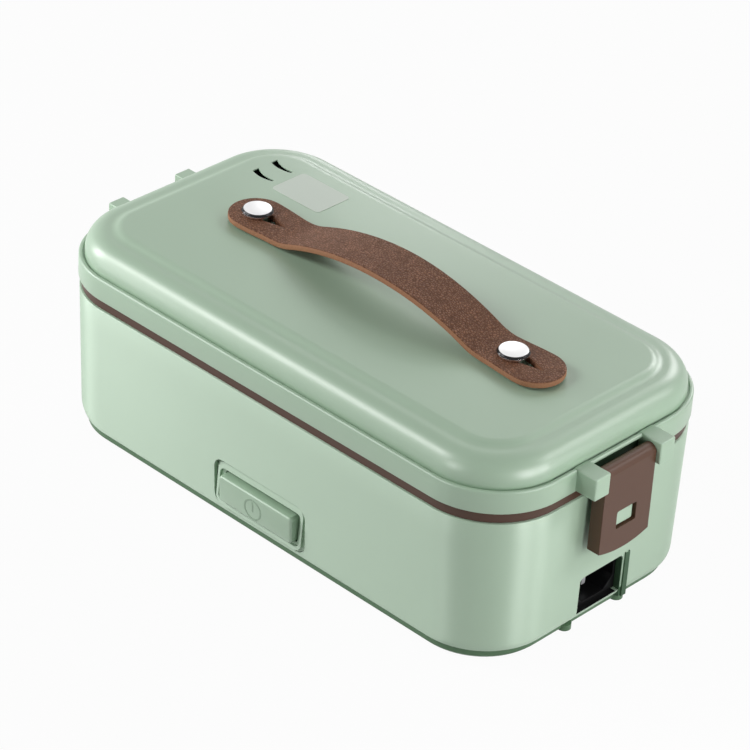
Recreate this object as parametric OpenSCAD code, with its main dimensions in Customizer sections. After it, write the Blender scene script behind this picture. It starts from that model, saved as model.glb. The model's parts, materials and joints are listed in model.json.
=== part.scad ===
// Electric lunch box: tapered shell with a heating pan, lift-off lid with two
// swing latches, a leather strap handle on two studs and a mains inlet.
// Origin: centre of the base, on the surface that the box stands on.
// +X points to the end with the mains inlet, -Y to the side with the button.

/* [Body] */
// Overall length of the lid skirt
body_l = 240; // [220:1:280]
// Overall width of the lid skirt
body_w = 127; // [118:1:150]
// Corner radius of the lid skirt in plan
corner_r = 32; // [28:1:36]
// Height at which the shell's lower edge stops
shell_bottom = 4.3; // [4:0.1:5]
// Height of the shell's upper edge
shell_top = 63.4; // [62:0.1:80]
// Inset of the shell's upper edge from the lid skirt
shell_top_inset = 0.5; // [0.3:0.1:1]
// Inset of the shell's lower edge from the lid skirt on the long sides
shell_low_inset = 3.7; // [2.5:0.1:4.5]
// Inset of the shell's lower edge from the lid skirt at the ends
shell_end_inset = 1.2; // [0.8:0.1:2]
// Wall of the moulded shell
shell_wall = 2.2; // [1.8:0.1:2.6]
// Chamfer along the shell's lower edge
shell_chamfer = 0.8; // [0.4:0.1:1.2]

/* [Base] */
// Inset of the base plinth from the lid skirt
plinth_inset = 4.5; // [4.4:0.1:6]
// Thickness of the base plate
base_t = 2.4; // [2:0.1:3]
// Height of the plinth's lower face above the ground
plinth_z = 0.6; // [0.4:0.1:1]
// Height of the upstand that lines the shell
upstand_h = 1.7; // [1.2:0.1:1.7]
// Diameter of a rubber foot
foot_d = 11; // [8:0.5:14]
// Depth of a rubber foot's pocket
foot_pocket = 1; // [0.6:0.1:1.4]
// Diameter of the two stub feet under the inlet
stub_d = 5.5; // [4.5:0.5:6]
// Distance of the stub feet from the centre line
stub_y = 14.6; // [14:0.1:18]
// Height of the stub feet's lower faces above the ground
stub_z = 1.8; // [0.5:0.1:2.5]

/* [Trim ring and pan] */
// Height of the visible band of the trim ring
ring_h = 4.3; // [3.5:0.1:6]
// Inset of the trim ring from the lid skirt
ring_inset = 1.2; // [1:0.1:2]
// Width of the trim ring in plan
ring_w = 7.2; // [6:0.1:9]
// Depth of the rebate that takes the pan's flange
ring_rebate = 1.2; // [1:0.1:1.6]
// Sheet thickness of the heating pan
pan_t = 1; // [0.8:0.1:1.2]
// Clearance between the mains socket and the heating pan above it
pan_over_socket = 0.7; // [0.4:0.1:2]
// Inset of the pan's wall at the flange
pan_inset = 9; // [8.8:0.1:10]
// Draft of the pan's wall from flange to floor
pan_draft = 2.4; // [1.5:0.1:4]

/* [Food container] */
// Sheet thickness of the food container
tray_t = 0.9; // [0.7:0.1:1.1]
// Clearance between the container and the pan
tray_gap = 0.6; // [0.4:0.1:1]
// Width of the container's rim flange
tray_rim = 3.4; // [2.8:0.1:3.6]

/* [Lid] */
// Height of the lid skirt's lower edge
skirt_z = 68; // [67.9:0.1:86]
// Height of the ledge where the dome starts
ledge_z = 77.4; // [76:0.1:95]
// Inset of the dome's foot from the skirt
dome_inset = 2.4; // [2:0.1:3]
// Height of the dome's upright foot
dome_foot = 1.6; // [1:0.1:3]
// Radius of the convex shoulder
shoulder_r = 8.5; // [7:0.1:10]
// Width of the flat between the shoulder and the panel's edge
trough_w = 1.1; // [0.8:0.1:3]
// Rise of the raised panel above that flat
panel_step = 1.5; // [0.8:0.1:2.5]
// Width over which the panel rises
panel_blend = 5.5; // [4:0.1:7]
// Wall of the lid
lid_wall = 2.2; // [1.8:0.1:2.6]
// Width of the groove round the dome's foot
groove_w = 1.1; // [0.8:0.1:1.4]
// Depth of that groove
groove_d = 0.9; // [0.6:0.1:1.2]
// Height of the inner lid panel's lower face
inner_lid_z = 72; // [71.6:0.1:89]
// Thickness of the inner lid panel
inner_lid_t = 1.8; // [1.4:0.1:2.4]
// Length of a steam slot
vent_l = 9.4; // [7:0.1:12]
// Width of a steam slot at its blunt end
vent_w = 2.8; // [2:0.1:3.2]
// Radius of a steam slot's curve
vent_bow = 14; // [10:0.5:20]
// Distance of the steam slots from the lid skirt at the far end
vent_end = 29.2; // [28.6:0.1:36]
// Distance of the outer steam slot from the lid skirt on the long side
vent_side = 28.5; // [28:0.1:34]
// Distance between the two steam slots
vent_pitch = 10.4; // [9:0.1:12]
// Diameter of the valve plug below the steam slots
vent_plug_d = 5.9; // [5:0.1:6.5]

/* [Latches] */
// Width of a latch
latch_w = 27.4; // [22:0.1:30]
// Distance of a latch's outer face from the lid skirt
latch_reach = 7.4; // [7.2:0.1:8]
// Thickness of the latch plate
latch_t = 2.2; // [1.8:0.1:2.4]
// Height of a latch's lower corners
latch_bottom = 40.2; // [36:0.1:44]
// Radius of the barrel round the hinge pin
barrel_r = 4; // [3.6:0.1:4]
// Depth of a latch's side flanges
flange_d = 5.7; // [5:0.1:6]
// Thickness of a latch's side flanges
latch_side_t = 1.8; // [1.4:0.1:2.2]
// Rise of the curved lower edge
latch_bow = 2.2; // [1:0.1:3]
// Width of the window in a latch
window_w = 10.8; // [7:0.1:12]
// Height of the window in a latch
window_h = 7.7; // [6:0.1:9]
// Height of the window's centre
window_z = 51.7; // [48:0.1:58]
// Diameter of a hinge pin
pin_d = 2.5; // [2:0.1:3]
// Running clearance of the pin in the barrel, on the radius
pin_gap = 0.05; // [0.03:0.01:0.09]
// Width of an ear that carries the pin
ear_w = 6.6; // [5:0.1:8]
// Gap between a latch and an ear
ear_gap = 1.5; // [0.8:0.1:2]
// Distance of an ear's outer face from the lid skirt
ear_reach = 9.3; // [8.4:0.1:10]
// Depth of the skirt's recess behind a latch's barrel
barrel_recess = 1.6; // [1:0.1:1.8]
// Width of the catch block under a latch
catch_w = 16; // [12:0.5:18]
// Height of the catch block under a latch
catch_h = 13.4; // [11:0.1:16]

/* [Strap] */
// Distance of each stud from the centre
stud_x = 67.5; // [60:0.1:70]
// Height of the pad under each stud
pad_h = 0.8; // [0.5:0.1:1.2]
// Thickness of the strap
strap_t = 2.5; // [2:0.1:3]
// Distance of the strap's round ends from its middle
strap_half = 73; // [70:0.5:76]
// Half width of the strap's waist
strap_waist = 10.3; // [9:0.1:11]
// Half width of the strap at its middle
strap_mid = 11; // [10:0.1:12]
// Radius of the strap's round ends
strap_end_r = 11.5; // [11:0.1:12.5]
// Offset of the strap's middle from the box's middle
strap_shift = 5.5; // [4:0.1:6]
// Rise of the strap's arch
arch_h = 10.6; // [8:0.1:12]
// Radius of the arch's upper face
arch_r = 125; // [115:1:135]
// Radius of the bends beside the arch, upper face
bend_r = 25; // [20:1:30]
// Width of the slots in the strap
slot_w = 4.9; // [4.8:0.1:5.4]
// Travel of the studs in the slots
slot_travel = 6; // [4:0.1:7]
// Distance of a slot's pointed end from its round end's centre
slot_tip = 15; // [14:0.1:17]
// Diameter of a stud's head
stud_d = 12.6; // [11:0.1:14]
// Height of a stud's head
stud_h = 1.8; // [1.6:0.1:2.4]
// Diameter of a stud's shank
shank_d = 4.4; // [3.8:0.1:4.6]

/* [Button] */
// Width of the power button's face
button_w = 39.4; // [36:0.2:41]
// Height of the power button's face
button_h = 11.8; // [10:0.1:12.4]
// Height of the button's centre
button_z = 16; // [15.5:0.1:16.6]
// Distance of the button's face from the bezel's face
button_proud = 2.6; // [1.8:0.1:3]
// Gap round the button
button_gap = 0.4; // [0.3:0.1:0.6]
// Travel of the button
button_travel = 1.2; // [0.8:0.1:1.5]
// Width of the bezel round the button
bezel_w = 48.6; // [48:0.1:52]
// Height of the bezel round the button
bezel_h = 20.6; // [20:0.1:20.8]
// Width of the groove outside the bezel's raised rim, at the sides
groove_side = 1.3; // [0.8:0.1:1.6]
// Width of the groove above and below the raised rim
groove_rise = 0.7; // [0.5:0.1:0.9]
// Width of the sunken well round the button
well_w = 43.8; // [42.8:0.1:44.2]
// Height of the sunken well round the button
well_h = 14.6; // [13.8:0.1:15.6]
// Depth of the groove and of the sunken well
well_d = 1.2; // [0.6:0.1:1.6]

/* [Mains inlet] */
// Width of the inlet opening
inlet_w = 24; // [23.5:0.1:24.5]
// Height of the inlet opening
inlet_h = 16.2; // [16:0.1:16.6]
// Height of the inlet's centre
inlet_z = 16; // [15.8:0.1:17]
// Depth at which the black socket sits behind the wall
inlet_recess = 2.9; // [2.6:0.1:3.4]
// Depth of the socket's cavity
socket_depth = 15; // [14:0.5:17]
// Wall of the socket
socket_wall = 1.4; // [1.2:0.1:1.5]

/* [Heating parts] */
// Length of the heating plate
heater_l = 100; // [80:1:120]
// Width of the heating plate
heater_w = 50; // [40:1:60]
// Thickness of the heating plate
heater_t = 4; // [3:0.1:4.5]
// Distance of the clamp's nuts from the centre
clamp_x = 62; // [61:1:70]
// Thickness of the clamp bar
clamp_t = 1.5; // [1.2:0.1:2]
// Height of the heat shield
shield_z = 9; // [8:0.1:9.5]
// Diameter of the thermostat
thermostat_d = 14; // [12:0.5:15]
// Thickness of the thermostat
thermostat_t = 5; // [4:0.1:5.5]
// Distance of the thermostat from the centre along the length
thermostat_x = 22; // [20:1:30]
// Distance of the thermostat and the fuse from the centre line
thermostat_y = 17; // [16:0.5:19]
// Length of the thermal fuse
fuse_l = 24; // [18:1:26]
// Diameter of the thermal fuse
fuse_d = 4.4; // [3:0.1:4.6]
// Length of the thermal fuse's leads
fuse_lead = 5; // [3:0.5:6]
// Distance between the thermal fuse and the thermostat's centre
fuse_gap = 34; // [32:1:36]

/* [Hidden] */
$fn = 64;

green = [0.66, 0.76, 0.67];
brown = [0.47, 0.37, 0.30];
leather = [0.55, 0.41, 0.33];
steel = [0.75, 0.76, 0.78];
black = [0.06, 0.06, 0.07];

eps = 0.01;
seat = 0.3;
fit = 0.02;
end_steps = 14;
strap_steps = 24;
corner_x = body_l / 2 - corner_r;
corner_y = body_w / 2 - corner_r;
ring_top = shell_top + ring_h;
crest_inset = dome_inset + shoulder_r;
crest_z = ledge_z + dome_foot + shoulder_r;
panel_z = crest_z + panel_step;
pan_floor = inlet_z + inlet_h / 2 + pan_over_socket;
roof_z = panel_z - lid_wall;
base_top = plinth_z + base_t;
side_slope = (shell_low_inset - shell_top_inset) / (shell_top - shell_bottom);
end_slope = (shell_end_inset - shell_top_inset) / (shell_top - shell_bottom);

// Inset of the shell's outer face from the lid skirt at height z, long sides
function side_inset(z) = shell_top_inset + (shell_top - z) * side_slope;
// The same at the ends
function end_inset(z) = shell_top_inset + (shell_top - z) * end_slope;
// Distance from the corner centres of a face that is inset from the lid skirt
function out(inset) = corner_r - inset;

// ---- shared shapes ----

// Sweeps a profile round the rounded outline; x is the distance out from the corner centres
module sweep_outline() {
    for (sx = [-1, 1], sy = [-1, 1]) {
        turn = sx > 0 ? (sy > 0 ? 0 : 270) : (sy > 0 ? 90 : 180);
        translate([sx * corner_x, sy * corner_y, 0])
            rotate([0, 0, turn])
                rotate_extrude(angle = 90)
                    children();
    }
    for (s = [0, 180]) {
        rotate([0, 0, s])
            translate([-corner_x, corner_y, 0])
                rotate([90, 0, 90])
                    linear_extrude(height = 2 * corner_x)
                        children();
        rotate([0, 0, s])
            translate([corner_x, corner_y, 0])
                rotate([90, 0, 0])
                    linear_extrude(height = 2 * corner_y)
                        children();
    }
}

// Fills the rectangle between the corner centres over a range of heights
module core_block(z0, z1) {
    translate([-corner_x, -corner_y, z0])
        cube([2 * corner_x, 2 * corner_y, z1 - z0]);
}

// A flat plate with round corners, centred on the axis
module round_plate(l, w, r, z0, z1) {
    translate([0, 0, z0])
        linear_extrude(height = z1 - z0)
            round_outline(l, w, r);
}

module round_outline(l, w, r) {
    square([l - 2 * r, w], center = true);
    square([l, w - 2 * r], center = true);
    for (sx = [-1, 1], sy = [-1, 1])
        translate([sx * (l / 2 - r), sy * (w / 2 - r)])
            circle(r = r);
}

// A round-cornered block that runs along Y from y0 to y1
module round_block_y(l, h, r, y0, y1) {
    translate([0, y1, 0])
        rotate([90, 0, 0])
            linear_extrude(height = y1 - y0)
                round_outline(l, h, r);
}

module at_corners(x, y) {
    for (sx = [-1, 1], sy = [-1, 1])
        translate([sx * x, sy * y, 0])
            children();
}

// A countersunk or pan-head screw that points up, head at the bottom
module screw_up(head_d, head_h, shank, length) {
    difference() {
        cylinder(d = head_d, h = head_h, $fn = 48);
        translate([-head_d * 0.36, -head_d * 0.07, -eps])
            cube([head_d * 0.72, head_d * 0.14, head_h * 0.5]);
        translate([-head_d * 0.07, -head_d * 0.36, -eps])
            cube([head_d * 0.14, head_d * 0.72, head_h * 0.5]);
    }
    translate([0, 0, head_h])
        cylinder(d = shank, h = length, $fn = 48);
}

// ---- outer shell ----

boss_d = 8;
boss_hole_d = 2.6;
boss_top = 20;
boss_web = 2;
plinth_chamfer = 1.4;
screw_head_d = 4.6;
screw_hole_d = 3;
screw_sink = 1;
boss_edge = 1.7;
boss_out = out(plinth_inset) - boss_edge - seat - boss_d / 2;
boss_x = corner_x + boss_out * sqrt(0.5);
boss_y = corner_y + boss_out * sqrt(0.5);
catch_face = body_l / 2 + latch_reach - latch_t - seat;
fin_y = 13.2;
fin_w = 1.4;
fin_groove = 0.9;
inlet_wall_x = body_l / 2 - end_inset(inlet_z);
inlet_corner_r = 2;
socket_ear_y = 20;
side_wall_y = body_w / 2 - side_inset(button_z);
bezel_z = button_z + 0.7;
bezel_r = 4.4;

// A thin plate of the shell's outline at height z, cut back by the given wall
module shell_plate(z, wall) {
    l = body_l - 2 * end_inset(z) - 2 * wall;
    w = body_w - 2 * side_inset(z) - 2 * wall;
    round_plate(l, w, corner_r - side_inset(z) - wall, z, z + eps);
}

// Solid that tapers between the shell's lower and upper outline
module shell_solid(wall, z0, z1) {
    hull() {
        shell_plate(z0, wall);
        shell_plate(z1 - eps, wall);
    }
}

// Block on the end wall that a latch closes over, sloped above and below
module catch_block() {
    root_x = body_l / 2 - end_inset(window_z) - 1;
    depth = catch_face - root_x;
    low = window_z - catch_h / 2;
    translate([root_x, catch_w / 2, 0])
        rotate([90, 0, 0])
            linear_extrude(height = catch_w)
                polygon([
                    [0, low],
                    [depth, low + 2],
                    [depth, low + catch_h - 3],
                    [0, low + catch_h]
                ]);
}

// Opening of the inlet: round above, square below
module inlet_outline(grow) {
    w = inlet_w + 2 * grow;
    h = inlet_h + 2 * grow;
    round_outline(w, h, inlet_corner_r);
    translate([-w / 2, -h / 2])
        square([w, h / 2]);
}

// Frame behind the end wall that the socket seats against, with a screw boss on each side
module inlet_frame() {
    depth = inlet_recess - 0.8;
    translate([inlet_wall_x - inlet_recess, 0, inlet_z])
        rotate([90, 0, 90])
            linear_extrude(height = depth) {
                inlet_outline(1.5);
                for (side = [-1, 1])
                    translate([side * socket_ear_y, 0])
                        circle(d = 8);
            }
}

module inlet_cut() {
    translate([inlet_wall_x - inlet_recess - 1, 0, inlet_z])
        rotate([90, 0, 90])
            linear_extrude(height = inlet_recess + 6)
                inlet_outline(0);
    for (side = [-1, 1])
        translate([inlet_wall_x - inlet_recess - 1, side * socket_ear_y, inlet_z])
            rotate([0, 90, 0])
                cylinder(d = 2.2, h = 3.2);
}

// Thin rib beside the inlet that stands above the stub foot
module inlet_fin() {
    foot_z = shell_bottom + shell_chamfer;
    translate([inlet_wall_x - 1, fin_y, foot_z])
        cube([1.5, fin_w, inlet_z + inlet_h / 2 + 0.6 - foot_z]);
}

// Screw boss inside each corner, tied to the wall by a web that clears the base's upstand
module corner_bosses() {
    web_z = shell_bottom + upstand_h + seat;
    taper = side_inset(boss_top) - end_inset(boss_top);
    web_l = out(side_inset(boss_top)) - shell_wall / 2 - boss_out + taper * sqrt(0.5);
    for (sx = [-1, 1], sy = [-1, 1])
        translate([sx * boss_x, sy * boss_y, 0]) {
            translate([0, 0, base_top + seat])
                cylinder(d = boss_d, h = boss_top - base_top - seat);
            rotate([0, 0, atan2(sy, sx)])
                translate([0, -boss_web / 2, web_z])
                    cube([web_l, boss_web, boss_top - web_z]);
        }
}

module outer_shell() {
    color(green)
        difference() {
            union() {
                difference() {
                    union() {
                        shell_solid(0, shell_bottom + shell_chamfer, shell_top);
                        hull() {
                            shell_plate(shell_bottom, shell_chamfer);
                            shell_plate(shell_bottom + shell_chamfer, 0);
                        }
                    }
                    shell_solid(shell_wall, shell_bottom - 1, shell_top + 1);
                }
                catch_block();
                mirror([1, 0, 0])
                    catch_block();
                inlet_frame();
                inlet_fin();
                corner_bosses();
            }
            inlet_cut();
            translate([inlet_wall_x - 0.6, fin_y + fin_w, inlet_z - inlet_h / 2 - 2])
                cube([3, fin_groove, inlet_h + 2.6]);
            at_corners(boss_x, boss_y)
                cylinder(d = boss_hole_d, h = boss_top - 2);
            translate([0, 0, bezel_z])
                round_block_y(bezel_w + 2 * seat, bezel_h + 2 * seat, bezel_r + seat, -body_w,
                    -corner_y - 10);
        }
}

// ---- base ----

upstand_t = 1.6;
foot_x = body_l / 2 - 30;
foot_y = body_w / 2 - 26;
post_x = 52;
post_y = 31;
post_d = 6;
stub_x = body_l / 2 - shell_end_inset - stub_d / 2 - 0.5;

// Low wall that stands inside the shell's lower edge
module base_upstand() {
    l = body_l - 2 * (shell_end_inset + shell_wall + seat);
    w = body_w - 2 * (shell_low_inset + shell_wall + seat);
    r = out(shell_low_inset + shell_wall + seat);
    difference() {
        round_plate(l, w, r, base_top, shell_bottom + upstand_h);
        round_plate(l - 2 * upstand_t, w - 2 * upstand_t, r - upstand_t, base_top - 1,
            shell_bottom + upstand_h + 1);
    }
    round_plate(l, w, r, shell_bottom - 0.9, shell_bottom);
}

// Plinth with a chamfered lower edge
module base_plinth() {
    sweep_outline()
        polygon([
            [0, plinth_z],
            [out(plinth_inset) - plinth_chamfer, plinth_z],
            [out(plinth_inset), plinth_z + plinth_chamfer],
            [out(plinth_inset), shell_bottom],
            [0, shell_bottom]
        ]);
    core_block(plinth_z, shell_bottom);
}

// Slotted post that holds one end of the control board
module board_guide(side) {
    difference() {
        translate([side * (board_w / 2 + 0.5) - 3, board_y - 2.5, base_top - eps])
            cube([6, board_t + 5, 9]);
        translate([-board_w / 2 - seat, board_y - seat, base_top])
            cube([board_w + 2 * seat, board_t + 2 * seat, 10]);
    }
}

module base_cover() {
    tub_l = body_l - 2 * (plinth_inset + 2.4);
    tub_w = body_w - 2 * (shell_low_inset + shell_wall + seat + upstand_t);
    tub_r = tub_w / 2 - corner_y;
    color(green)
        difference() {
            union() {
                difference() {
                    union() {
                        base_plinth();
                        base_upstand();
                    }
                    round_plate(tub_l, tub_w, tub_r, base_top, shell_bottom + upstand_h + 1);
                }
                at_corners(post_x, post_y)
                    translate([0, 0, base_top - eps])
                        cylinder(d = post_d, h = shield_z - base_top + eps);
                for (side = [-1, 1])
                    board_guide(side);
                for (side = [-1, 1])
                    translate([stub_x, side * stub_y, stub_z])
                        cylinder(d = stub_d, h = shell_bottom - stub_z - 0.1);
            }
            at_corners(foot_x, foot_y)
                translate([0, 0, -eps])
                    cylinder(d = foot_d + 2 * fit, h = plinth_z + foot_pocket + eps);
            at_corners(boss_x, boss_y) {
                translate([0, 0, -eps])
                    cylinder(d = screw_hole_d, h = base_top + 1);
                translate([0, 0, -eps])
                    cylinder(d = screw_head_d + 0.4, h = plinth_z + screw_sink + eps);
                translate([0, 0, base_top])
                    cylinder(d = boss_d + 2 * seat, h = upstand_h + 3);
            }
        }
}

module base_screws() {
    color(steel)
        at_corners(boss_x, boss_y)
            translate([0, 0, plinth_z + screw_sink - 0.9])
                screw_up(screw_head_d, 0.9, boss_hole_d - 2 * fit, 12);
}

module feet() {
    color([0.25, 0.28, 0.25])
        at_corners(foot_x, foot_y)
            rotate_extrude()
                polygon([
                    [0, 0],
                    [foot_d / 2 - 0.6, 0],
                    [foot_d / 2, 0.6],
                    [foot_d / 2, plinth_z + foot_pocket],
                    [0, plinth_z + foot_pocket]
                ]);
}

// ---- trim ring and heating pan ----

ring_skirt = 5;
pan_flange_z = ring_top - ring_rebate;
pan_out = out(pan_inset);
pan_low_out = pan_out - pan_draft;
pan_bend = 5;

module trim_ring() {
    inside = out(ring_inset) - ring_w;
    rebate_in = inside + 3;
    skirt_out = out(side_inset(shell_top - ring_skirt)) - shell_wall - 0.25;
    color(brown)
        sweep_outline()
            polygon([
                [out(ring_inset) - 0.4, shell_top],
                [out(ring_inset), shell_top + 0.4],
                [out(ring_inset), ring_top - 0.4],
                [out(ring_inset) - 0.4, ring_top],
                [rebate_in, ring_top],
                [rebate_in, pan_flange_z],
                [inside, pan_flange_z],
                [inside, shell_top - ring_skirt],
                [inside + 1.6, shell_top - ring_skirt],
                [skirt_out, shell_top - ring_skirt + 1.5],
                [skirt_out, shell_top]
            ]);
}

// Section of a pressed pan: flange, drafted wall, round bend and floor
module pan_section(top_out, low_out, flange_out, z_floor, z_flange, t) {
    difference() {
        pan_fill(top_out, low_out, z_floor, z_flange + t, pan_bend);
        pan_fill(top_out - t, low_out - t, z_floor + t, z_flange + t + 1, pan_bend - t);
    }
    translate([top_out - t / 2, z_flange])
        square([flange_out - top_out + t / 2, t]);
}

// Region inside a pan's drafted wall, with the bend as a true arc
module pan_fill(top_out, low_out, z0, z1, bend) {
    polygon([
        [0, z0],
        [low_out - bend, z0],
        [low_out, z0 + bend],
        [top_out, z1],
        [0, z1]
    ]);
    translate([low_out - bend, z0 + bend])
        intersection() {
            circle(r = bend);
            translate([0, -bend])
                square(bend);
        }
}

module pan_studs() {
    for (side = [-1, 1])
        translate([side * clamp_x, 0, pan_floor - heater_t - clamp_t - 4])
            cylinder(d = 4, h = heater_t + clamp_t + 4 + eps);
}

module inner_liner() {
    color(steel) {
        sweep_outline()
            pan_section(pan_out, pan_low_out, out(ring_inset) - ring_w + 2.7, pan_floor,
                pan_flange_z, pan_t);
        core_block(pan_floor, pan_floor + pan_t);
        pan_studs();
    }
}

// ---- heating parts under the pan ----

heater_z = pan_floor - heater_t;
clamp_z = heater_z - clamp_t;

module heater_plate() {
    color([0.82, 0.82, 0.84])
        difference() {
            round_plate(heater_l, heater_w, 6, heater_z, pan_floor);
            for (side = [-1, 1])
                translate([side * heater_l * 0.25, 0, heater_z - eps])
                    linear_extrude(height = 0.8)
                        round_outline(30, heater_w - 30, 3);
        }
}

module heater_clamp() {
    color(steel)
        difference() {
            union() {
                round_plate(2 * clamp_x + 14, 14, 6, clamp_z, heater_z);
                for (side = [-1, 1])
                    translate([side * clamp_x, 0, heater_z - eps])
                        cylinder(d = 9, h = heater_t);
            }
            for (side = [-1, 1])
                translate([side * clamp_x, 0, clamp_z - 1])
                    cylinder(d = 4.3, h = heater_t + 3);
        }
}

module clamp_nuts() {
    color(steel)
        for (side = [-1, 1])
            translate([side * clamp_x, 0, clamp_z - 3])
                difference() {
                    cylinder(d = 8, h = 3, $fn = 6);
                    translate([0, 0, -1])
                        cylinder(d = 4 + 2 * fit, h = 5);
                }
}

tab_w = 4;
tab_t = 0.8;
tab_l = 3;
tab_x = 3.5;
tab_z = heater_z - thermostat_t - tab_l;
fuse_x = thermostat_x - fuse_gap - fuse_l;
fuse_z = heater_z - fuse_d / 2;

module thermostat() {
    color([0.2, 0.17, 0.15])
        translate([thermostat_x, thermostat_y, 0]) {
            round_plate(thermostat_d + 10, thermostat_d * 0.47, 3, heater_z - 1.2, heater_z);
            translate([0, 0, heater_z - thermostat_t])
                cylinder(d = thermostat_d, h = thermostat_t);
            for (side = [-1, 1])
                translate([side * tab_x - tab_w / 2, -tab_t / 2, tab_z])
                    cube([tab_w, tab_t, tab_l + eps]);
        }
}

module thermal_fuse() {
    color([0.85, 0.8, 0.7])
        translate([fuse_x, thermostat_y, fuse_z])
            rotate([0, 90, 0]) {
                cylinder(d = fuse_d, h = fuse_l);
                translate([0, 0, -fuse_lead])
                    cylinder(d = 1.2, h = fuse_l + 2 * fuse_lead);
            }
}

module heat_shield() {
    color([0.8, 0.81, 0.83])
        difference() {
            union() {
                round_plate(2 * post_x + 16, 2 * post_y + 12, 5, shield_z, shield_z + 0.8);
                at_corners(post_x, post_y)
                    translate([0, 0, shield_z])
                        cylinder(d = 8, h = 1.6);
            }
            translate([0, 0, shield_z - 1])
                linear_extrude(height = 3)
                    for (k = [-2:2])
                        translate([k * 18, 0])
                            round_outline(3, 30, 1.4);
        }
}

// ---- control board, switch and lamp ----

board_w = 52;
board_h = 20;
board_t = 1.6;
bezel_t = 4.4;
bezel_lip_t = 1.1;
flange_t = 1.4;
stem_l = 1.2;
switch_h = 3.6;
switch_nub = 1.2;
button_back = -side_wall_y + bezel_t + seat + flange_t;
board_y = button_back + stem_l + button_travel + seat + switch_nub + switch_h;
wall_tilt = atan(side_slope);

module control_board() {
    color([0.15, 0.4, 0.25])
        difference() {
            translate([-board_w / 2, board_y, base_top])
                cube([board_w, board_t, board_h]);
            for (side = [-1, 1])
                translate([side * (board_w / 2 - 5), board_y - 1, base_top + board_h - 4])
                    rotate([-90, 0, 0])
                        cylinder(d = 3, h = board_t + 2);
        }
}

module tact_switch() {
    color(black)
        translate([0, board_y, button_z]) {
            translate([-3, -switch_h, -3])
                cube([6, switch_h, 6]);
            translate([0, -switch_h - switch_nub, 0])
                rotate([-90, 0, 0])
                    cylinder(d = 3.4, h = switch_nub + eps);
        }
}

module indicator_led() {
    color([0.9, 0.95, 0.9])
        translate([8, board_y, button_z])
            rotate([90, 0, 0]) {
                cylinder(d = 3.6, h = 1);
                cylinder(d = 3, h = 3);
                translate([0, 0, 3])
                    sphere(d = 3);
            }
}

// Half space in front of the tapered side wall, moved out by the given distance
module front_of_wall(distance) {
    translate([0, -side_wall_y - distance, button_z])
        rotate([-wall_tilt, 0, 0])
            translate([-40, -20, -40])
                cube([80, 20, 80]);
}

// Region outside the bezel's raised rim
module rim_groove() {
    rim_w = bezel_w - 2 * groove_side;
    rim_h = bezel_h - 2 * groove_rise;
    translate([0, 0, bezel_z])
        difference() {
            round_block_y(bezel_w + 4, bezel_h + 4, bezel_r, -side_wall_y - 5, 0);
            round_block_y(rim_w, rim_h, bezel_r - groove_rise, -side_wall_y - 6, 1);
        }
}

module button_bezel() {
    back = -side_wall_y + bezel_t;
    color(green)
        difference() {
            union() {
                translate([0, 0, bezel_z])
                    round_block_y(bezel_w, bezel_h, bezel_r, -side_wall_y - 3, back);
                translate([0, 0, bezel_z])
                    round_block_y(bezel_w + 3, bezel_h + 0.4, bezel_r, back - bezel_lip_t, back);
            }
            front_of_wall(0);
            translate([0, 0, button_z])
                round_block_y(button_w + 2 * button_gap, button_h + 2 * button_gap, 1.4,
                    -side_wall_y - 5, back + 1);
            intersection() {
                front_of_wall(-well_d);
                union() {
                    translate([0, 0, button_z])
                        round_block_y(well_w, well_h, 2.6, -side_wall_y - 5, back);
                    rim_groove();
                }
            }
        }
}

module power_button() {
    flange_w = button_w + 3.2;
    flange_h = button_h + 1.4;
    color(green)
        difference() {
            union() {
                translate([0, 0, button_z])
                    round_block_y(button_w, button_h, 1, -side_wall_y - 5, button_back);
                translate([0, 0, button_z])
                    round_block_y(flange_w, flange_h, 1.5, button_back - flange_t, button_back);
                translate([0, button_back - eps, button_z])
                    rotate([-90, 0, 0])
                        cylinder(d = 3.6, h = stem_l + eps);
            }
            front_of_wall(button_proud);
        }
}

// ---- mains inlet ----

socket_len = socket_depth + 3;
socket_front = inlet_wall_x - inlet_recess;
socket_ear_t = 2;
pin_len = 10;
pin_tail = 5;
pin_spread = 7;
pin_rise = 2;

// Six-sided outline of the inlet: the two lower corners are cut
module socket_outline(grow) {
    w = inlet_w / 2 + grow - socket_wall;
    h = inlet_h / 2 + grow - socket_wall;
    cut = 4.6 + grow * 0.4;
    polygon([[-w, h], [w, h], [w, -h + cut], [w - cut, -h], [-w + cut, -h], [-w, -h + cut]]);
}

// Places the children along the inlet's axis, depth measured inwards from the socket's face
module at_socket() {
    translate([socket_front, 0, inlet_z])
        rotate([90, 0, -90])
            children();
}

module power_socket() {
    color(black)
        at_socket()
            difference() {
                union() {
                    linear_extrude(height = socket_len)
                        socket_outline(socket_wall);
                    linear_extrude(height = socket_ear_t)
                        square([inlet_w + 2.4, inlet_h + 2.4], center = true);
                    linear_extrude(height = socket_ear_t)
                        round_outline(2 * socket_ear_y + 8, 8, 3.9);
                }
                translate([0, 0, -1])
                    linear_extrude(height = socket_depth + 1)
                        socket_outline(0);
                for (side = [-1, 1])
                    translate([side * socket_ear_y, 0, -1])
                        cylinder(d = 3, h = socket_ear_t + 2);
                pin_bars(socket_depth - 1, socket_len + 1);
            }
}

// Flat bars at the three contact places: live and neutral above, earth below
module pin_bars(from, to) {
    for (place = [[-pin_spread, pin_rise], [pin_spread, pin_rise], [0, -pin_rise]])
        translate([place.x, place.y, from])
            linear_extrude(height = to - from)
                square([2, 4], center = true);
}

module socket_pins() {
    color(steel)
        at_socket()
            pin_bars(socket_depth - pin_len, socket_len + pin_tail);
}

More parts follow.
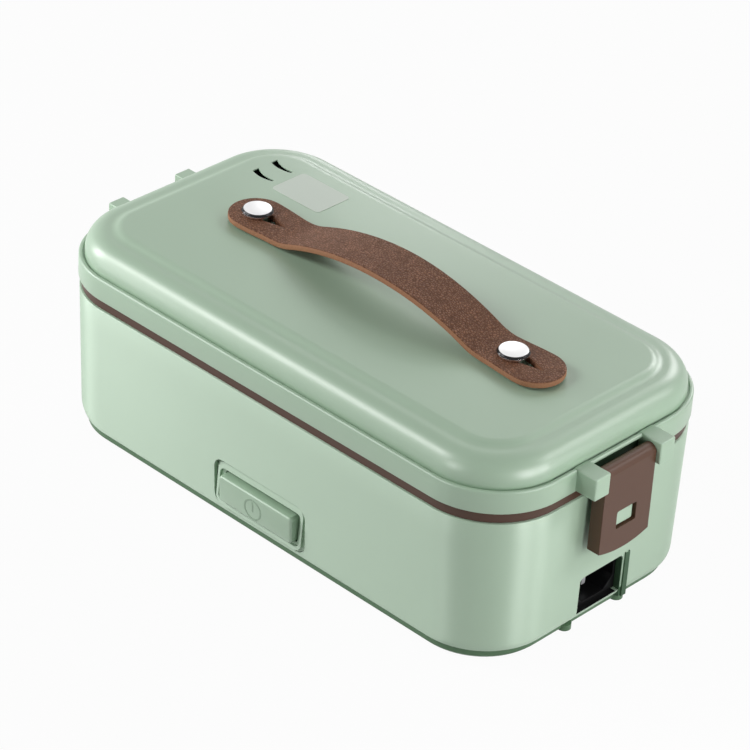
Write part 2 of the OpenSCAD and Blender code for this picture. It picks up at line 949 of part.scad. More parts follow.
module socket_screws() {
    color(steel)
        for (side = [-1, 1])
            translate([socket_front - socket_ear_t - 1.3, side * socket_ear_y, inlet_z])
                rotate([0, 90, 0])
                    screw_up(5, 1.3, 2.2 - 2 * fit, socket_ear_t + 2);
}

// ---- internal wires ----

wire_d = 2.2;
wire_floor = base_top + wire_d / 2 + 0.2;
wire_start_x = socket_front - socket_len - pin_tail;

// Straight runs of wire joined by round elbows
module wire(points) {
    for (k = [0:len(points) - 2])
        wire_run(points[k], points[k + 1]);
    for (k = [1:len(points) - 2])
        translate(points[k])
            sphere(d = wire_d, $fn = 24);
}

module wire_run(a, b) {
    d = b - a;
    length = norm(d);
    translate(a)
        rotate([0, acos(d.z / length), atan2(d.y, d.x)])
            cylinder(d = wire_d, h = length, $fn = 24);
}

module wiring() {
    board_back = board_y + board_t;
    pin_z = inlet_z + pin_rise;
    bend_x = wire_start_x - 6;
    run_y = board_back + 6;
    joint_x = board_w / 2 - 8;
    over_z = tab_z + wire_d / 2 + 0.1;
    near_tab = thermostat_x - tab_x;
    far_tab = thermostat_x + tab_x;
    y = thermostat_y;
    loop_y = y + thermostat_d / 2 + 4;
    lead_end = fuse_x + fuse_l + fuse_lead;
    lead_start = fuse_x - fuse_lead;
    drop_x = -post_x - 16;
    color([0.7, 0.2, 0.15]) {
        wire([[wire_start_x, -pin_spread, pin_z], [bend_x, -pin_spread, pin_z],
            [bend_x, -pin_spread, wire_floor], [bend_x, run_y, wire_floor],
            [joint_x, run_y, wire_floor], [joint_x, board_back, wire_floor]]);
        wire([[near_tab, board_back, over_z], [near_tab, y - 6, over_z],
            [near_tab, y - tab_t / 2, over_z]]);
        wire([[far_tab, y + tab_t / 2, over_z], [far_tab, loop_y, over_z],
            [lead_end + 5, loop_y, over_z], [lead_end + 5, y, over_z],
            [lead_end + 5, y, fuse_z], [lead_end, y, fuse_z]]);
    }
    color([0.2, 0.3, 0.6])
        wire([[wire_start_x, pin_spread, pin_z], [bend_x, pin_spread, pin_z],
            [bend_x, pin_spread, wire_floor], [drop_x, pin_spread, wire_floor],
            [drop_x, y, wire_floor], [drop_x, y, fuse_z], [lead_start, y, fuse_z]]);
    color([0.6, 0.65, 0.2])
        wire([[wire_start_x, 0, inlet_z - pin_rise], [bend_x - 4, 0, inlet_z - pin_rise],
            [bend_x - 4, 0, clamp_z + 0.75], [clamp_x + 7, 0, clamp_z + 0.75]]);
}

// ---- food container ----

tray_out = pan_out - pan_t - tray_gap;
tray_low_out = pan_low_out - pan_t - tray_gap;
tray_floor = pan_floor + pan_t + seat;
tray_rim_z = pan_flange_z + pan_t + 0.2;

module food_container() {
    color(steel) {
        sweep_outline()
            pan_section(tray_out, tray_low_out, tray_out + tray_rim, tray_floor, tray_rim_z, tray_t);
        core_block(tray_floor, tray_floor + tray_t);
    }
}

// ---- lid ----

hinge_x = body_l / 2 + latch_reach - barrel_r;
hinge_z = ledge_z - barrel_r + 0.1;
ear_y = latch_w / 2 + ear_gap;
ear_bottom = skirt_z + 0.3;
pin_length = 2 * (ear_y + ear_w - 1.5);
lid_boss_d = 7;
lid_boss_x = corner_x + 4;
lid_boss_y = corner_y + 8;
vent_x = vent_end - body_l / 2;
vent_far_y = body_w / 2 - vent_side;
vent_ys = [vent_far_y - vent_pitch, vent_far_y];
vent_plug_y = vent_far_y - vent_pitch / 2;
groove_z = ledge_z - groove_d;

// Section of the lid's outside, shrunk inwards by the given wall
module lid_section(wall) {
    drop = wall > 0 ? 1 : 0;
    lip = 0.8;
    polygon([
        [0, skirt_z - drop],
        [out(wall), skirt_z - drop],
        [out(wall), ledge_z - lip - wall],
        [out(wall + lip), ledge_z - wall],
        [0, ledge_z - wall]
    ]);
    translate([0, ledge_z - wall - 1])
        square([out(dome_inset + wall), dome_foot + wall + 1]);
    translate([0, ledge_z])
        square([out(crest_inset), crest_z - wall - ledge_z]);
    translate([out(crest_inset), crest_z - shoulder_r])
        circle(r = shoulder_r - wall, $fn = 96);
    translate([0, -wall])
        panel_section();
}

// Step up to the raised panel: a concave and a convex arc that meet half way
module panel_section() {
    foot = out(crest_inset + trough_w);
    half_w = panel_blend / 2;
    half_h = panel_step / 2;
    r = (half_w * half_w + half_h * half_h) / (2 * half_h);
    difference() {
        polygon([
            [0, ledge_z],
            [foot, ledge_z],
            [foot, crest_z],
            [foot - panel_blend, panel_z],
            [0, panel_z]
        ]);
        translate([foot, crest_z + r])
            intersection() {
                circle(r = r, $fn = 96);
                translate([-half_w, -r - 1])
                    square([half_w + 1, r]);
            }
    }
    translate([foot - panel_blend, panel_z - r])
        intersection() {
            circle(r = r, $fn = 96);
            translate([0, r - half_h - 0.5])
                square([half_w, half_h + 1]);
        }
}

// One ear in side view, with round outer corners
module ear() {
    reach = ear_reach + 1;
    r = 1.8;
    translate([0, ear_w / 2, 0])
        rotate([90, 0, 0])
            linear_extrude(height = ear_w) {
                translate([0, ear_bottom])
                    square([reach - r, ledge_z - ear_bottom]);
                translate([0, ear_bottom + r])
                    square([reach, ledge_z - ear_bottom - 2 * r]);
                for (z = [ear_bottom + r, ledge_z - r])
                    translate([reach - r, z])
                        circle(r = r);
            }
}

// Horn-shaped steam slot between two equal circles: blunt at one end, pointed at the other
module vent_cut() {
    half_turn = asin(vent_l / 2 / vent_bow);
    shift = vent_w / sin(2 * half_turn);
    translate([0, 0, roof_z - 1])
        linear_extrude(height = lid_wall + 2)
            translate([0, vent_bow])
                intersection() {
                    difference() {
                        circle(r = vent_bow);
                        translate([shift * cos(half_turn), shift * sin(half_turn)])
                            circle(r = vent_bow);
                    }
                    translate([-vent_l / 2, -vent_bow - 1])
                        square([vent_l, 2 * vent_w]);
                }
}

// Space behind a latch's barrel, cut out of the skirt between the ears
module barrel_space() {
    translate([body_l / 2 - barrel_recess, -ear_y, skirt_z - 1])
        cube([barrel_recess + 1, 2 * ear_y, ledge_z - 1.2 - skirt_z + 1]);
}

module lid_shell() {
    color(green)
        difference() {
            union() {
                difference() {
                    union() {
                        sweep_outline()
                            lid_section(0);
                        core_block(skirt_z, panel_z);
                    }
                    sweep_outline()
                        lid_section(lid_wall);
                    core_block(skirt_z - 1, roof_z);
                }
                for (side = [-1, 1], end = [0, 180])
                    rotate([0, 0, end])
                        translate([body_l / 2 - 1, side * (ear_y + ear_w / 2), 0])
                            ear();
                at_corners(lid_boss_x, lid_boss_y)
                    translate([0, 0, inner_lid_z + inner_lid_t])
                        cylinder(d = lid_boss_d, h = roof_z - inner_lid_z - inner_lid_t + 0.5);
                for (side = [-1, 1])
                    translate([side * stud_x, 0, panel_z - 1])
                        cylinder(d = stud_d + 0.4, h = pad_h + 1);
            }
            sweep_outline()
                translate([out(dome_inset), groove_z])
                    square([groove_w, groove_d + 1]);
            for (end = [0, 180])
                rotate([0, 0, end])
                    barrel_space();
            at_corners(lid_boss_x, lid_boss_y)
                translate([0, 0, inner_lid_z])
                    cylinder(d = 2.4, h = 10);
            for (side = [-1, 1])
                translate([side * stud_x, 0, roof_z - 2])
                    cylinder(d = shank_d + 2 * fit, h = lid_wall + pad_h + 4);
            for (y = vent_ys)
                translate([vent_x, y, 0])
                    vent_cut();
            for (end = [-1, 1])
                translate([end * hinge_x, -pin_length / 2, hinge_z])
                    rotate([-90, 0, 0])
                        cylinder(d = pin_d + 2 * fit, h = pin_length);
        }
}

gasket_w = 3;
gasket_out = tray_out + tray_rim + 0.3;
gasket_z = tray_rim_z + tray_t + 0.3;

module lid_liner() {
    rim_out = out(dome_inset + lid_wall) - 0.4;
    color([0.9, 0.92, 0.9])
        difference() {
            union() {
                sweep_outline()
                    polygon([
                        [0, inner_lid_z],
                        [gasket_out - gasket_w - 1.4, inner_lid_z],
                        [gasket_out - gasket_w - 1.4, gasket_z + 0.8],
                        [gasket_out - gasket_w - 0.2, gasket_z + 0.8],
                        [gasket_out - gasket_w - 0.2, inner_lid_z],
                        [rim_out, inner_lid_z],
                        [rim_out, inner_lid_z + inner_lid_t],
                        [0, inner_lid_z + inner_lid_t]
                    ]);
                core_block(inner_lid_z, inner_lid_z + inner_lid_t);
            }
            at_corners(lid_boss_x, lid_boss_y)
                translate([0, 0, inner_lid_z - 1])
                    cylinder(d = 2.8, h = 5);
            translate([vent_x, vent_plug_y, inner_lid_z - 1])
                cylinder(d = vent_plug_d + 0.1, h = inner_lid_t + 3);
        }
}

module lid_gasket() {
    color([0.85, 0.86, 0.84])
        sweep_outline()
            polygon([
                [gasket_out - gasket_w, inner_lid_z],
                [gasket_out - gasket_w, gasket_z + 0.5],
                [gasket_out - gasket_w / 2, gasket_z],
                [gasket_out, gasket_z + 0.5],
                [gasket_out, inner_lid_z]
            ]);
}

module liner_screws() {
    color(steel)
        at_corners(lid_boss_x, lid_boss_y)
            translate([0, 0, inner_lid_z - 1.4])
                screw_up(5.5, 1.4, 2.4 - 2 * fit, 8);
}

// Soft valve that closes the steam path below the slots
module vent_plug() {
    color([0.85, 0.86, 0.84])
        translate([vent_x, vent_plug_y, inner_lid_z])
            difference() {
                union() {
                    translate([0, 0, -1])
                        cylinder(d = vent_plug_d + 2, h = 1);
                    translate([0, 0, -eps])
                        cylinder(d = vent_plug_d, h = inner_lid_t + 2 * eps);
                    translate([0, 0, inner_lid_t])
                        cylinder(d = vent_plug_d + 2.6, h = 2);
                }
                translate([0, 0, -2])
                    cylinder(d = vent_plug_d / 3, h = inner_lid_t + 5);
            }
}

module latch_pins() {
    color(steel)
        for (end = [-1, 1])
            translate([end * hinge_x, -pin_length / 2, hinge_z])
                rotate([-90, 0, 0])
                    cylinder(d = pin_d, h = pin_length);
}

// ---- strap handle ----

strap_z = panel_z + pad_h + 0.1;
strap_top = strap_z + strap_t;
bend_x = sqrt(pow(arch_r + bend_r, 2) - pow(arch_r - arch_h + bend_r, 2));
arch_angle = asin(bend_x / (arch_r + bend_r));
head_z = strap_top + 0.2;

// Half width of the strap at distance x from its middle
function strap_half_width(x) =
    let (u = abs(x) / strap_half)
        u < 0.72
        ? strap_waist + (strap_mid - strap_waist) * (1 + cos(180 * u / 0.72)) / 2
        : strap_waist + (strap_end_r - strap_waist) * (1 - cos(180 * (u - 0.72) / 0.28)) / 2;

// Curved band between two radii, from straight up to the given angle
module band(outer_r, inner_r, angle) {
    far = 2 * outer_r;
    intersection() {
        difference() {
            circle(r = outer_r, $fn = 360);
            circle(r = inner_r, $fn = 360);
        }
        polygon([[0, 0], [0, far], [far * sin(angle), far * cos(angle)]]);
    }
}

// Half of the strap in side view: arch, reverse bend and flat end
module strap_half_side() {
    half = strap_half + strap_end_r;
    translate([0, strap_top + arch_h - arch_r])
        band(arch_r, arch_r - strap_t, arch_angle);
    translate([bend_x, strap_top + bend_r])
        rotate([0, 0, 180])
            band(bend_r + strap_t, bend_r, arch_angle);
    translate([bend_x, strap_z])
        square([half - bend_x, strap_t]);
}

// Strap seen from above, with round ends
module strap_plan() {
    stations = [for (k = [-strap_steps:strap_steps]) strap_half * k / strap_steps];
    arc = [for (k = [1:end_steps - 1]) 90 - 180 * k / end_steps];
    polygon(concat(
        [for (x = stations) [x, strap_half_width(x)]],
        [for (a = arc) [strap_half + strap_end_r * cos(a), strap_end_r * sin(a)]],
        [for (x = stations) [-x, -strap_half_width(x)]],
        [for (a = arc) [-strap_half - strap_end_r * cos(a), -strap_end_r * sin(a)]]
    ));
}

// Slot for a stud, from the given place towards +X: straight, then narrowed to a point
module strap_slot(x) {
    r = slot_w / 2;
    translate([x, 0, strap_z - 1])
        linear_extrude(height = strap_t + 3) {
            circle(r = r);
            polygon([[0, -r], [slot_travel, -r], [slot_tip, 0], [slot_travel, r], [0, r]]);
        }
}

module handle_strap() {
    width = 2 * strap_end_r + 2;
    color(leather)
        difference() {
            translate([strap_shift, 0, 0])
                intersection() {
                    translate([0, width / 2, 0])
                        rotate([90, 0, 0])
                            linear_extrude(height = width) {
                                strap_half_side();
                                mirror([1, 0])
                                    strap_half_side();
                            }
                    translate([0, 0, strap_z - 1])
                        linear_extrude(height = arch_h + strap_t + 2)
                            strap_plan();
                }
            strap_slot(-stud_x);
            strap_slot(stud_x);
        }
}

module strap_studs() {
    color(steel)
        for (side = [-1, 1])
            translate([side * stud_x, 0, 0])
                rotate_extrude()
                    polygon([
                        [0, roof_z - 4],
                        [shank_d / 2, roof_z - 4],
                        [shank_d / 2, head_z],
                        [stud_d / 2 - 0.3, head_z],
                        [stud_d / 2, head_z + 0.3],
                        [stud_d / 2, head_z + 0.9],
                        [stud_d / 2 - 0.6, head_z + stud_h],
                        [0, head_z + stud_h]
                    ]);
}

module stud_nuts() {
    color(steel)
        for (side = [-1, 1])
            translate([side * stud_x, 0, roof_z - 3])
                difference() {
                    union() {
                        cylinder(d = 8, h = 2.4 + eps, $fn = 6);
                        translate([0, 0, 2.4])
                            cylinder(d = 12, h = 0.6);
                    }
                    translate([0, 0, -1])
                        cylinder(d = shank_d + 2 * fit, h = 5);
                }
}

// ---- latches ----

latch_x = body_l / 2 + latch_reach;

// Front view of the latch plate with its curved lower edge
module latch_front() {
    half = latch_w / 2;
    bow_r = (half * half + latch_bow * latch_bow) / (2 * latch_bow);
    difference() {
        union() {
            translate([-half, latch_bottom])
                square([latch_w, hinge_z - latch_bottom]);
            intersection() {
                translate([0, latch_bottom - latch_bow + bow_r])
                    circle(r = bow_r, $fn = 180);
                translate([-half, latch_bottom - latch_bow - 1])
                    square([latch_w, latch_bow + 2]);
            }
        }
        translate([0, window_z])
            round_outline(window_w, window_h, 0.8);
    }
}

module latch() {
    half = latch_w / 2;
    difference() {
        union() {
            translate([latch_x - latch_t, 0, 0])
                rotate([90, 0, 90])
                    linear_extrude(height = latch_t)
                        latch_front();
            translate([hinge_x, -half, hinge_z])
                rotate([-90, 0, 0])
                    cylinder(r = barrel_r, h = latch_w);
            for (side = [-1, 1])
                translate([latch_x - flange_d, side * (half - latch_side_t / 2) - latch_side_t / 2,
                    latch_bottom])
                    cube([flange_d - 1, latch_side_t, hinge_z - latch_bottom]);
        }
        translate([hinge_x, -half - 1, hinge_z])
            rotate([-90, 0, 0])
                cylinder(r = pin_d / 2 + pin_gap, h = latch_w + 2);
    }
}

module latch_near() {
    color(brown)
        latch();
}

module latch_far() {
    color(brown)
        rotate([0, 0, 180])
            latch();
}

outer_shell();
base_cover();
base_screws();
feet();
trim_ring();
inner_liner();
heater_plate();
heater_clamp();
clamp_nuts();
thermostat();
thermal_fuse();
heat_shield();
control_board();
tact_switch();
indicator_led();
button_bezel();
power_socket();
socket_pins();
socket_screws();
wiring();
food_container();
lid_shell();
lid_liner();
lid_gasket();
liner_screws();
vent_plug();
strap_studs();
stud_nuts();
latch_pins();
handle_strap();
latch_near();
latch_far();
power_button();
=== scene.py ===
"""Looks of the electric lunch box, built round its CAD frame: green plastic, brown trim, leather strap."""

import json
import math

import bmesh
import bpy
from mathutils import Matrix, Vector


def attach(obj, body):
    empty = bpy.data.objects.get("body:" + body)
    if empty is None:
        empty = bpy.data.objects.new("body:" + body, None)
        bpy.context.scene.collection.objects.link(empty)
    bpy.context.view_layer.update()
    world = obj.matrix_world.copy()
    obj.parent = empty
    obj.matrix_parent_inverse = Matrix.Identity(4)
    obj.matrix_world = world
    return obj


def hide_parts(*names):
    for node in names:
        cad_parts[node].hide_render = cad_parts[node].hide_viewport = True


MM = 0.001
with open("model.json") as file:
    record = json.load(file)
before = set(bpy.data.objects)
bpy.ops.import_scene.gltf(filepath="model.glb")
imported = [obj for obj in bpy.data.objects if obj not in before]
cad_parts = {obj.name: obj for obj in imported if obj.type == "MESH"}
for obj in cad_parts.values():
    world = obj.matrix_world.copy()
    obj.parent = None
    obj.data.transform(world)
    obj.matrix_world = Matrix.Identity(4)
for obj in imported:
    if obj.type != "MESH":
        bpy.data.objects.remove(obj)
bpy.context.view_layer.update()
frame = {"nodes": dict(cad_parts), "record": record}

# Sizes are in millimetres and angles in degrees. X runs along the body, to the inlet's end; the power
# button is on the -Y side. Sizes of pieces that the CAD also has follow the CAD.

# How far a cutting or joining tool reaches past the surface that it works on
PAST = 1

# Body outline, shared by lid and shell
BODY_L = 240
BODY_W = 127
CORNER_R = 32
ARC_STEPS = 20

# Lid, from the skirt's lower edge to the raised panel
SKIRT_Z = 68
SKIRT_EDGE = 0.35
LEDGE_Z = 77.4
LEDGE_R = 0.8
GROOVE_INSET = 1.6
GROOVE_D = 0.9
DOME_INSET = 2.4
DOME_FOOT = 1.6
SHOULDER_R = 8.5
TROUGH_W = 1.1
PANEL_STEP = 1.5
PANEL_BLEND = 5.5
LID_WALL = 2.2
CREST_INSET = DOME_INSET + SHOULDER_R
CREST_Z = LEDGE_Z + DOME_FOOT + SHOULDER_R
PANEL_Z = CREST_Z + PANEL_STEP

# Steam slots in the lid's panel, and a matt black sheet under them that is painted shade for the slots'
# insides
VENT_X = -91.2
VENT_YS = (24.6, 35)
VENT_L = 11.2
VENT_W = 3.3
VENT_TIP = 1.2
VENT_BOW = 14
VENT_CUT = 4
SHADE_SHEET_SINK = 0.45
SHADE_SHEET_T = 0.35

# Latch ears on the lid, and the notch in the skirt between them
EAR_INNER = 13.9
EAR_Y = 15.2
EAR_W = 6.6
EAR_ROOT = 118
EAR_X = 129.3
EAR_LOW = SKIRT_Z + 0.3
EAR_HIGH = LEDGE_Z + 0.2
EAR_EDGE = 0.6
NOTCH_D = 1.6
NOTCH_LOW = 66
NOTCH_TOP = 76.2
NOTCH_R = 0.3

# Shell: tapered walls, and an end wall that turns in at the foot
SHELL_LOW = 4.3
SHELL_TOP = 63.4
SHELL_WALL = 2.2
SHELL_EDGE = 1.0
TOP_INSET = 0.5
SIDE_INSET = 3.7
END_INSET = 1.2
END_CURL = 4.2
END_CURL_H = 5

# Catch block on each end wall, and the pad that fills the latch's window
WINDOW_Z = 51.7
WINDOW_W = 10.8
WINDOW_H = 7.7
CATCH_ROOT = 118
CATCH_X = 124.9
CATCH_W = 16
CATCH_H = 13.4
CATCH_SLOPE_LOW = 2
CATCH_SLOPE_HIGH = 3
CATCH_PAD = 1.4
CATCH_PAD_R = 0.6
PAD_SIDE_GAP = 1
PAD_END_GAP = 0.8

# Mains inlet: recess, the piece beside it and the rail, both painted dark green as shade
INLET_W = 24
INLET_H = 16.2
INLET_Z = 16
INLET_R = 2
INLET_RECESS = 2.9
INLET_FRAME = 1.5
INLET_FRAME_SINK = 0.8
LINING_T = 0.2
LINING_GAP = 0.02
LINING_SINK = 0.3
FIN_Y = (13.2, 14.6)
FIN_Z = (4.7, INLET_Z + INLET_H / 2 + 0.6)
FIN_PROUD = 0.5
GROOVE_Y = (14.6, 15.5)
GROOVE_SINK = 0.6
SIDE_Y = (11.7, 13.1)
SIDE_ROOT = 2.8
SIDE_SINK = 0.1
SIDE_TOP = INLET_Z + INLET_H / 2 - 1.5
RAIL_Y = (12.9, 15.4)
RAIL_ROOT = 1.5
RAIL_PROUD = 0.55
RAIL_LOW = SHELL_LOW + 0.4
RAIL_TOP = SIDE_TOP + 2

# Power button, the hole for its bezel, and the power sign on its face
BEZEL_Z = 16.7
BEZEL_W = 48.6
BEZEL_H = 20.6
BEZEL_GAP = 0.3
BEZEL_HOLE_R = 4.7
BEZEL_HOLE_Y = (-70, -50)
BUTTON_Z = 16
BUTTON_W = 39.4
BUTTON_H = 11.8
BUTTON_R = 1.6
BUTTON_PROUD = 2.6
BUTTON_DEPTH = 3.5
BUTTON_EDGE = 1.0
SIGN_X = -1
SIGN_Z = 15.5
SIGN_R = 4.6
SIGN_T = 0.7
SIGN_GAP = 6
SIGN_RISE = 0.08
SIGN_SINK = 0.5
SIGN_BAR_LOW = SIGN_Z - 1
SIGN_BAR_TOP = SIGN_Z + SIGN_R - 1.2

# Latches
LATCH_W = 27.4
LATCH_T = 2.2
LATCH_X = 127.4
LATCH_BOTTOM = 40.2
LATCH_BOW = 2.2
LATCH_EDGE = 0.35
WINDOW_R = 0.8
FLANGE_D = 5.7
FLANGE_T = 1.8
HINGE_X = 123.4
HINGE_Z = 73.5
PIN_BORE_R = 1.3
TOP_R = 3.1
TOP_X = LATCH_X - TOP_R
TOP_Z = 73.2

# Strap, the pads under its ends and the studs through its slots
STUD_X = 67.5
PAD_H = 0.8
PAD_R = 6.9
STRAP_Z = PANEL_Z + PAD_H + 0.1
STRAP_T = 2.5
STRAP_EDGE = 0.45
STRAP_SHIFT = 5.5
STRAP_HALF = 73
STRAP_END_R = 11.5
STRAP_MIDDLE_R = 11.0
STRAP_NECK_R = 10.3
STRAP_NECK_AT = 0.72
STRAP_CUTS = 61
ARCH_H = 10.6
ARCH_R = 125
BEND_R = 25
SLOT_W = 4.9
SLOT_TRAVEL = 6
SLOT_TIP = 15
STUD_HEAD_Z = STRAP_Z + STRAP_T + 0.2
STUD_HEAD_R = 6.3
STUD_HEAD_H = 1.8
STUD_SHANK_R = 2.2
STUD_SHANK_LOW = PANEL_Z - 6.2

# Blank label on the lid's panel
LABEL_X = -69
LABEL_Y = 30.8
LABEL_L = 26.2
LABEL_W = 18.5
LABEL_R = 2
LABEL_T = 0.12


# ---- materials ----


def linear(r, g, b):
    """An 8-bit sRGB colour as a linear RGBA tuple."""
    channels = []
    for c in (r, g, b):
        channels.append(c / 255 / 12.92 if c <= 10 else ((c / 255 + 0.055) / 1.055) ** 2.4)
    return (*channels, 1.0)


def darkened(color, share):
    """The colour with its channels times the share, still opaque."""
    return tuple(c * share for c in color[:3]) + (1.0,)


GREEN = linear(166, 192, 167)


class Finish:
    """A node material with short calls to add nodes and links."""

    def __init__(self, name, color, roughness, **sockets):
        self.material = bpy.data.materials.new(name)
        self.material.use_nodes = True
        self.tree = self.material.node_tree
        self.shader = self.tree.nodes["Principled BSDF"]
        self.material.diffuse_color = color
        self.shader.inputs["Base Color"].default_value = color
        self.shader.inputs["Roughness"].default_value = roughness
        for key, value in sockets.items():
            self.shader.inputs[key.replace("_", " ")].default_value = value
        self.coords = self.add("ShaderNodeTexCoord").outputs["Object"]

    def add(self, kind, **values):
        """A new node; each value goes to the input or the setting of that name."""
        node = self.tree.nodes.new(kind)
        for key, value in values.items():
            name = key.replace("_", " ")
            if name in node.inputs:
                node.inputs[name].default_value = value
            else:
                setattr(node, key, value)
        return node

    def link(self, source, target):
        """Joins an output to an input."""
        self.tree.links.new(source, target)

    def noise(self, scale, detail=2.0):
        """Noise from 0 to 1 over the object's own coordinates."""
        node = self.add("ShaderNodeTexNoise", Scale=scale, Detail=detail, Roughness=0.5)
        self.link(self.coords, node.inputs["Vector"])
        return node.outputs["Fac"]

    def ramp(self, source, low, high, from_low=0.0, from_high=1.0):
        """The source, stretched from its own range to low and high."""
        node = self.add("ShaderNodeMapRange")
        node.inputs["From Min"].default_value = from_low
        node.inputs["From Max"].default_value = from_high
        node.inputs["To Min"].default_value = low
        node.inputs["To Max"].default_value = high
        self.link(source, node.inputs["Value"])
        return node.outputs["Result"]

    def mix(self, factor, a, b):
        """Colour a where the factor is 0 and b where it is 1; each is a tuple or an output."""
        node = self.add("ShaderNodeMix", data_type="RGBA")
        self.link(factor, node.inputs["Factor"])
        for value, socket in ((a, node.inputs[6]), (b, node.inputs[7])):
            if isinstance(value, tuple):
                socket.default_value = value
            else:
                self.link(value, socket)
        return node.outputs[2]

    def paint(self, factor, a, b):
        """Gives the shader a base colour between a and b."""
        self.link(self.mix(factor, a, b), self.shader.inputs["Base Color"])

    def bump(self, height, strength, distance, normal=None):
        """Fine relief; distance is in metres."""
        node = self.add("ShaderNodeBump", Strength=strength, Distance=distance)
        self.link(height, node.inputs["Height"])
        if normal is not None:
            self.link(normal, node.inputs["Normal"])
        self.link(node.outputs["Normal"], self.shader.inputs["Normal"])

    def rounded(self, radius):
        """Softens the look of every edge within the radius."""
        node = self.add("ShaderNodeBevel", samples=6)
        node.inputs["Radius"].default_value = radius * MM
        return node.outputs["Normal"]


def moulded(name, color, roughness, grain, edge, **sockets):
    """Moulded plastic: fine spark grain, slightly uneven gloss and softened edges."""
    finish = Finish(name, color, roughness, **sockets)
    finish.paint(finish.noise(38.0), darkened(color, 0.97), color)
    uneven = finish.ramp(finish.noise(240.0, 3.0), roughness - 0.03, roughness + 0.03)
    finish.link(uneven, finish.shader.inputs["Roughness"])
    finish.bump(finish.noise(2600.0, 1.0), grain, 0.00008, finish.rounded(edge))
    return finish.material


def sheet_metal(name, color, roughness):
    """Drawn or brushed metal with fine directional streaks."""
    finish = Finish(name, color, roughness, Metallic=1.0)
    stretch = finish.add("ShaderNodeMapping")
    stretch.inputs["Scale"].default_value = (1.0, 40.0, 40.0)
    finish.link(finish.coords, stretch.inputs["Vector"])
    streaks = finish.add("ShaderNodeTexNoise", Scale=60.0, Detail=3.0)
    finish.link(stretch.outputs["Vector"], streaks.inputs["Vector"])
    uneven = finish.ramp(streaks.outputs["Fac"], roughness - 0.08, roughness + 0.1)
    finish.link(uneven, finish.shader.inputs["Roughness"])
    finish.bump(streaks.outputs["Fac"], 0.08, 0.0001, finish.rounded(0.2))
    return finish.material


def leather_face():
    """Pebbled leather: cells for the grain, creases between them and patches of darker dye."""
    light = linear(150, 103, 75)
    dark = linear(118, 77, 53)
    finish = Finish("strap_face", light, 0.45, Specular_IOR_Level=0.22)
    cells = finish.add("ShaderNodeTexVoronoi", feature="DISTANCE_TO_EDGE", Scale=950.0)
    finish.link(finish.coords, cells.inputs["Vector"])
    grain = finish.ramp(cells.outputs["Distance"], 0.0, 1.0, 0.0, 0.3)
    patches = finish.ramp(finish.noise(160.0, 4.0), 0.0, 1.0, 0.3, 0.7)
    finish.paint(grain, darkened(dark, 0.5), finish.mix(patches, light, dark))
    finish.link(finish.ramp(grain, 0.68, 0.45), finish.shader.inputs["Roughness"])
    finish.bump(grain, 0.6, 0.00025)
    return finish.material


def leather_edge():
    """Raw cut edge of the strap: lighter, fibrous and matt."""
    finish = Finish("strap_edge", linear(190, 142, 115), 0.7, Specular_IOR_Level=0.3)
    fibres = finish.noise(1500.0, 4.0)
    finish.paint(fibres, linear(134, 90, 63), linear(168, 122, 92))
    finish.bump(fibres, 0.4, 0.0002)
    return finish.material


def satin_wall():
    """Satin pearl finish of the shell: its gloss is drawn out upright, so lamps show as upright bands."""
    finish = Finish("wall_green", GREEN, 0.5, Specular_IOR_Level=1.0, IOR=1.75, Metallic=0.12)
    finish.shader.inputs["Anisotropic"].default_value = 0.9
    finish.shader.inputs["Anisotropic Rotation"].default_value = 0.25
    around = finish.add("ShaderNodeTangent", direction_type="RADIAL", axis="Z")
    finish.link(around.outputs["Tangent"], finish.shader.inputs["Tangent"])
    finish.paint(finish.noise(38.0), darkened(GREEN, 0.97), GREEN)
    finish.bump(finish.noise(2600.0, 1.0), 0.03, 0.00008, finish.rounded(0.3))
    return finish.material


def label_stock():
    """Plain satin label stock."""
    return Finish("label", linear(208, 219, 207), 0.42).material


lid_green = moulded("lid_green", GREEN, 0.36, 0.06, 0.25, Specular_IOR_Level=1.0)
# The base cover's green, darkened as painted shade under the body
plinth_painted_shade = moulded("plinth_painted_shade", linear(92, 122, 93), 0.45, 0.05, 0.3, Specular_IOR_Level=0.3)
# Dark green painted as shade: the back faces of the latch notches, and the side and rail of the inlet
painted_shade_green = moulded("painted_shade_green", linear(58, 88, 62), 0.5, 0.05, 0.2, Specular_IOR_Level=0.3)
wall_green = satin_wall()
brown = moulded("brown_plastic", linear(86, 57, 41), 0.36, 0.06, 0.35, Specular_IOR_Level=0.35)
ring_brown = moulded("ring_brown", linear(78, 54, 42), 0.4, 0.05, 0.25, Specular_IOR_Level=0.35)
# Matt black painted as the shade inside the steam slots
shade = moulded("shade_black", linear(6, 7, 6), 0.9, 0.02, 0.05, Specular_IOR_Level=0.0)
sign_green = moulded("sign_green", linear(150, 174, 151), 0.5, 0.02, 0.05)
black = moulded("black_plastic", linear(12, 12, 13), 0.4, 0.06, 0.2, Specular_IOR_Level=0.25)
rubber = moulded("foot_rubber", linear(70, 78, 70), 0.8, 0.3, 0.3)
seal = moulded("seal_rubber", linear(222, 224, 218), 0.6, 0.1, 0.2)
board = moulded("board_laminate", linear(34, 98, 62), 0.3, 0.03, 0.1)
wire_sleeve = moulded("wire_sleeve", linear(176, 52, 42), 0.45, 0.05, 0.1)
lamp = moulded("lamp_resin", linear(228, 238, 228), 0.2, 0.02, 0.1)
steel = sheet_metal("steel_sheet", linear(196, 198, 200), 0.3)
alloy = sheet_metal("aluminium_part", linear(208, 209, 211), 0.45)
chrome = sheet_metal("polished_steel", linear(228, 228, 230), 0.16)
# Painted reflection on the polished studs: a bright flat face and a dark bevelled rim
stud_painted_highlight = moulded("stud_painted_highlight", linear(240, 240, 240), 0.3, 0.01, 0.1, Metallic=0.6)
stud_painted_dark_reflection = moulded("stud_painted_dark_reflection", linear(30, 30, 32), 0.2, 0.01, 0.05, Metallic=0.5, Specular_IOR_Level=0.3)
strap_face = leather_face()
strap_edge = leather_edge()

